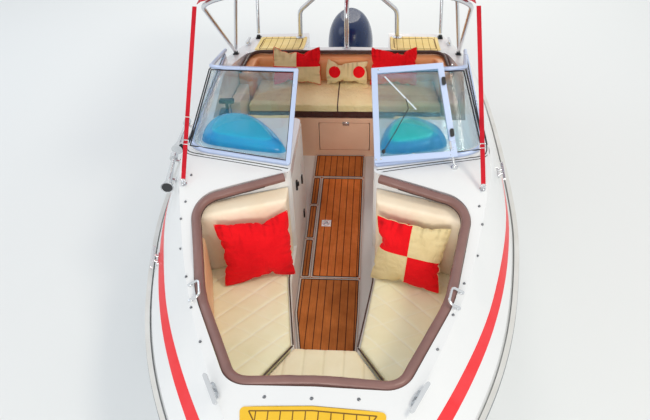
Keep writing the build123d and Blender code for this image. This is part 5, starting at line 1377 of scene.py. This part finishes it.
def bent_ring(middle, a, b, count):
    """A closed bar of thin steel or line round the middle, as far out as a and b reach."""
    turns = [2 * math.pi * q / count for q in range(count)]
    return rod([middle + a * math.cos(t) + b * math.sin(t) for t in turns], 0.0022, 8, True)


for side in (1, -1):
    own = [v.co.copy() for v in strap_mesh.vertices if v.co.x * side > 0]
    foot_z, top_z = min(p.z for p in own), max(p.z for p in own)
    low_end = middle_of([p for p in own if p.z < foot_z + 0.03])
    high_end = middle_of([p for p in own if p.z > top_z - 0.03])
    along = (high_end - low_end).normalized()
    facing = Vector((0, -1, 0))
    facing = (facing - along * facing.dot(along)).normalized()
    wide = along.cross(facing).normalized()
    axes = (wide, facing, along)
    points = []
    for k in range(STRAP_STEPS + 1):
        share = k / STRAP_STEPS
        centre = low_end.lerp(high_end, share)
        flutter = 0.0022 * noise.noise(Vector((share * 7, side, 0.2)))
        twist = 0.10 * math.sin(share * 5) * share * (1 - share) * 4
        w = wide * math.cos(twist) + facing * math.sin(twist)
        f = facing * math.cos(twist) - wide * math.sin(twist)
        for a, b in ((-1, -1), (1, -1), (1, 1), (-1, 1)):
            points.append(centre + w * a * STRAP_HALF + f * (b * 0.0011 + flutter))
    strap_parts.append((points, wrapped(4, STRAP_STEPS + 1)))
    doubled = low_end.lerp(high_end, DOUBLED_AT)
    strap_parts.append(box_part((0.025, 0.002, 0.16), doubled + facing * 0.0028, axes))
    buckle = low_end.lerp(high_end, BUCKLE_AT) + facing * 0.001
    for size, shift in (((0.034, 0.006, 0.005), along * 0.012), ((0.005, 0.006, 0.028), wide * 0.0155)):
        hook_parts += [box_part(size, buckle + shift, axes), box_part(size, buckle - shift, axes)]
    ring = low_end - along * 0.004
    hook_parts.append(bent_ring(ring, wide * 0.014, along * 0.006, 20))
    hook = ((0.004, 0), (0.014, 0.004), (0.024, 0.004), (0.031, 0), (0.026, -0.006), (0.014, -0.006))
    hook_parts.append(rod(round_off([ring - along * down + facing * out for down, out in hook], 0.003), 0.0026, 8))
    if side < 0:
        knot = low_end.lerp(high_end, KNOT_AT)
        tie_parts.append(bent_ring(knot, wide * 0.0155, facing * 0.0042, 24))
        free_end = [knot + wide * 0.012 - facing * 0.003, knot + wide * 0.022 + along * 0.004]
        free_end.append(knot + wide * 0.03 - along * 0.006)
        tie_parts.append(rod(round_off(free_end, 0.003), 0.0018, 8))
straps = piece("canopy_strap_webbing", strap_parts, webbing, angle=50)
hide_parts("canopy_straps")
piece("canopy_strap_hooks", hook_parts, polished_steel, angle=50)
white_cord = finish("white braided tie", "E9E8E2", 0.7, 1.5, 0.2, 0.08)
piece("strap_tie", tie_parts, white_cord, angle=60)

# Stern: swim platforms in white gelcoat with moulded grip ribs, a steel ladder between its hinges.
grip_gelcoat = finish("white grip gelcoat", "DFE1E0", 0.55, 2, 0.35, 0.06, "C8C9C4")
platform_skin = skin_of("swim_platforms")
FIRST_RIB, RIB_SPACING, PLATFORM_TOP = 0.44, 0.05, 0.25
LADDER_MIDDLE, LADDER_HALF = 0.6, 0.16  # no rib runs under the folded ladder
ribs = []
for side in (1, -1):
    for k in range(9):
        x = side * (FIRST_RIB + RIB_SPACING * k)
        if abs(x - LADDER_MIDDLE) >= LADDER_HALF:
            rib = [(x, y, PLATFORM_TOP) for y in (2.09, 2.25, 2.41)]
            ribs.append(strip_on(platform_skin, rib, 0.022, 0.0002, 0.0022, 4, 0.05))
piece("platform_grip_ribs", ribs, grip_gelcoat)
dress("boarding_ladder", polished_steel, 45)

# Outboard: the cowl is a moulded hood in navy lacquer with a parting line and a rubber latch; the leg,
# brackets and carriers are die-cast and painted grey, and the propeller is bare cast aluminium.
navy_lacquer = finish(
    "navy lacquered cowl", "0A2A58", 0.24, 60, 0.05, 0.12, "08224A", Specular_IOR_Level=0.35, Coat_Weight=0.15
)
dress("motor_cowl", navy_lacquer, 50)
grey_paint = finish("grey motor paint", "2B3138", 0.32, 6, 0.06, 0.1, "1D2126")
for node in ("motor_leg", "swivel_bracket", "clamp_bracket"):
    dress(node, grey_paint)
dress("propeller", cast_alloy)
cowl_skin = skin_of("motor_cowl")
cowl_lo, cowl_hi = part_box("motor_cowl")
cowl_middle = Vector((0, (cowl_lo[1] + cowl_hi[1]) / 2, 0))


def round_cowl(z, width, thick):
    """A level strip round the cowl."""
    loop = []
    for k in range(64):
        a = 2 * math.pi * k / 64
        way = Vector((math.cos(a), math.sin(a), 0))
        hit = cowl_skin.ray_cast(cowl_middle + Vector((0, 0, z)) + way * 0.9, -way)[0]
        if hit:
            loop.append(tuple(hit))
    return strip_ring(cowl_skin, loop, width, thick)


PARTING, PARTING_LIP, PINSTRIPE = 0.372, 0.384, 0.455  # heights on the cowl
seam_loops = [round_cowl(PARTING, 0.008, 0.0012), round_cowl(PARTING_LIP, 0.003, 0.002)]
seam_rubber = finish("black seam rubber", "101114", 0.6, 2, 0.05, 0.05)
piece("cowl_seam", seam_loops, seam_rubber, "motor")
silver_tape = finish("silver pinstripe", "AEB6C4", 0.35, 8, 0.02, 0.05, Metallic=0.6)
piece("cowl_pinstripe", [round_cowl(PINSTRIPE, 0.007, 0.0006)], silver_tape, "motor")
latch_at = cowl_skin.ray_cast(Vector((0, 3.2, (PARTING + PARTING_LIP) / 2)), Vector((0, -1, 0)))[0]
cowl_latch = [
    box_part((0.07, 0.008, 0.05), latch_at + Vector((0, 0.002, 0))),
    box_part((0.045, 0.008, 0.03), latch_at + Vector((0, 0.006, -0.004))),
]
piece("cowl_latch", cowl_latch, black_nylon, "motor")
NUT = [(0.016, -0.004), (0.016, 0.002), (0.013, 0.004), (0.012, 0.0085), (0.004, 0.0095)]
nut_place = (0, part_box("propeller")[1][1] - 0.004, -0.59)
nut = turned(NUT, nut_place, (0, 1, 0), 6)
piece("propeller_nut", [nut], polished_steel, "propeller", 30)
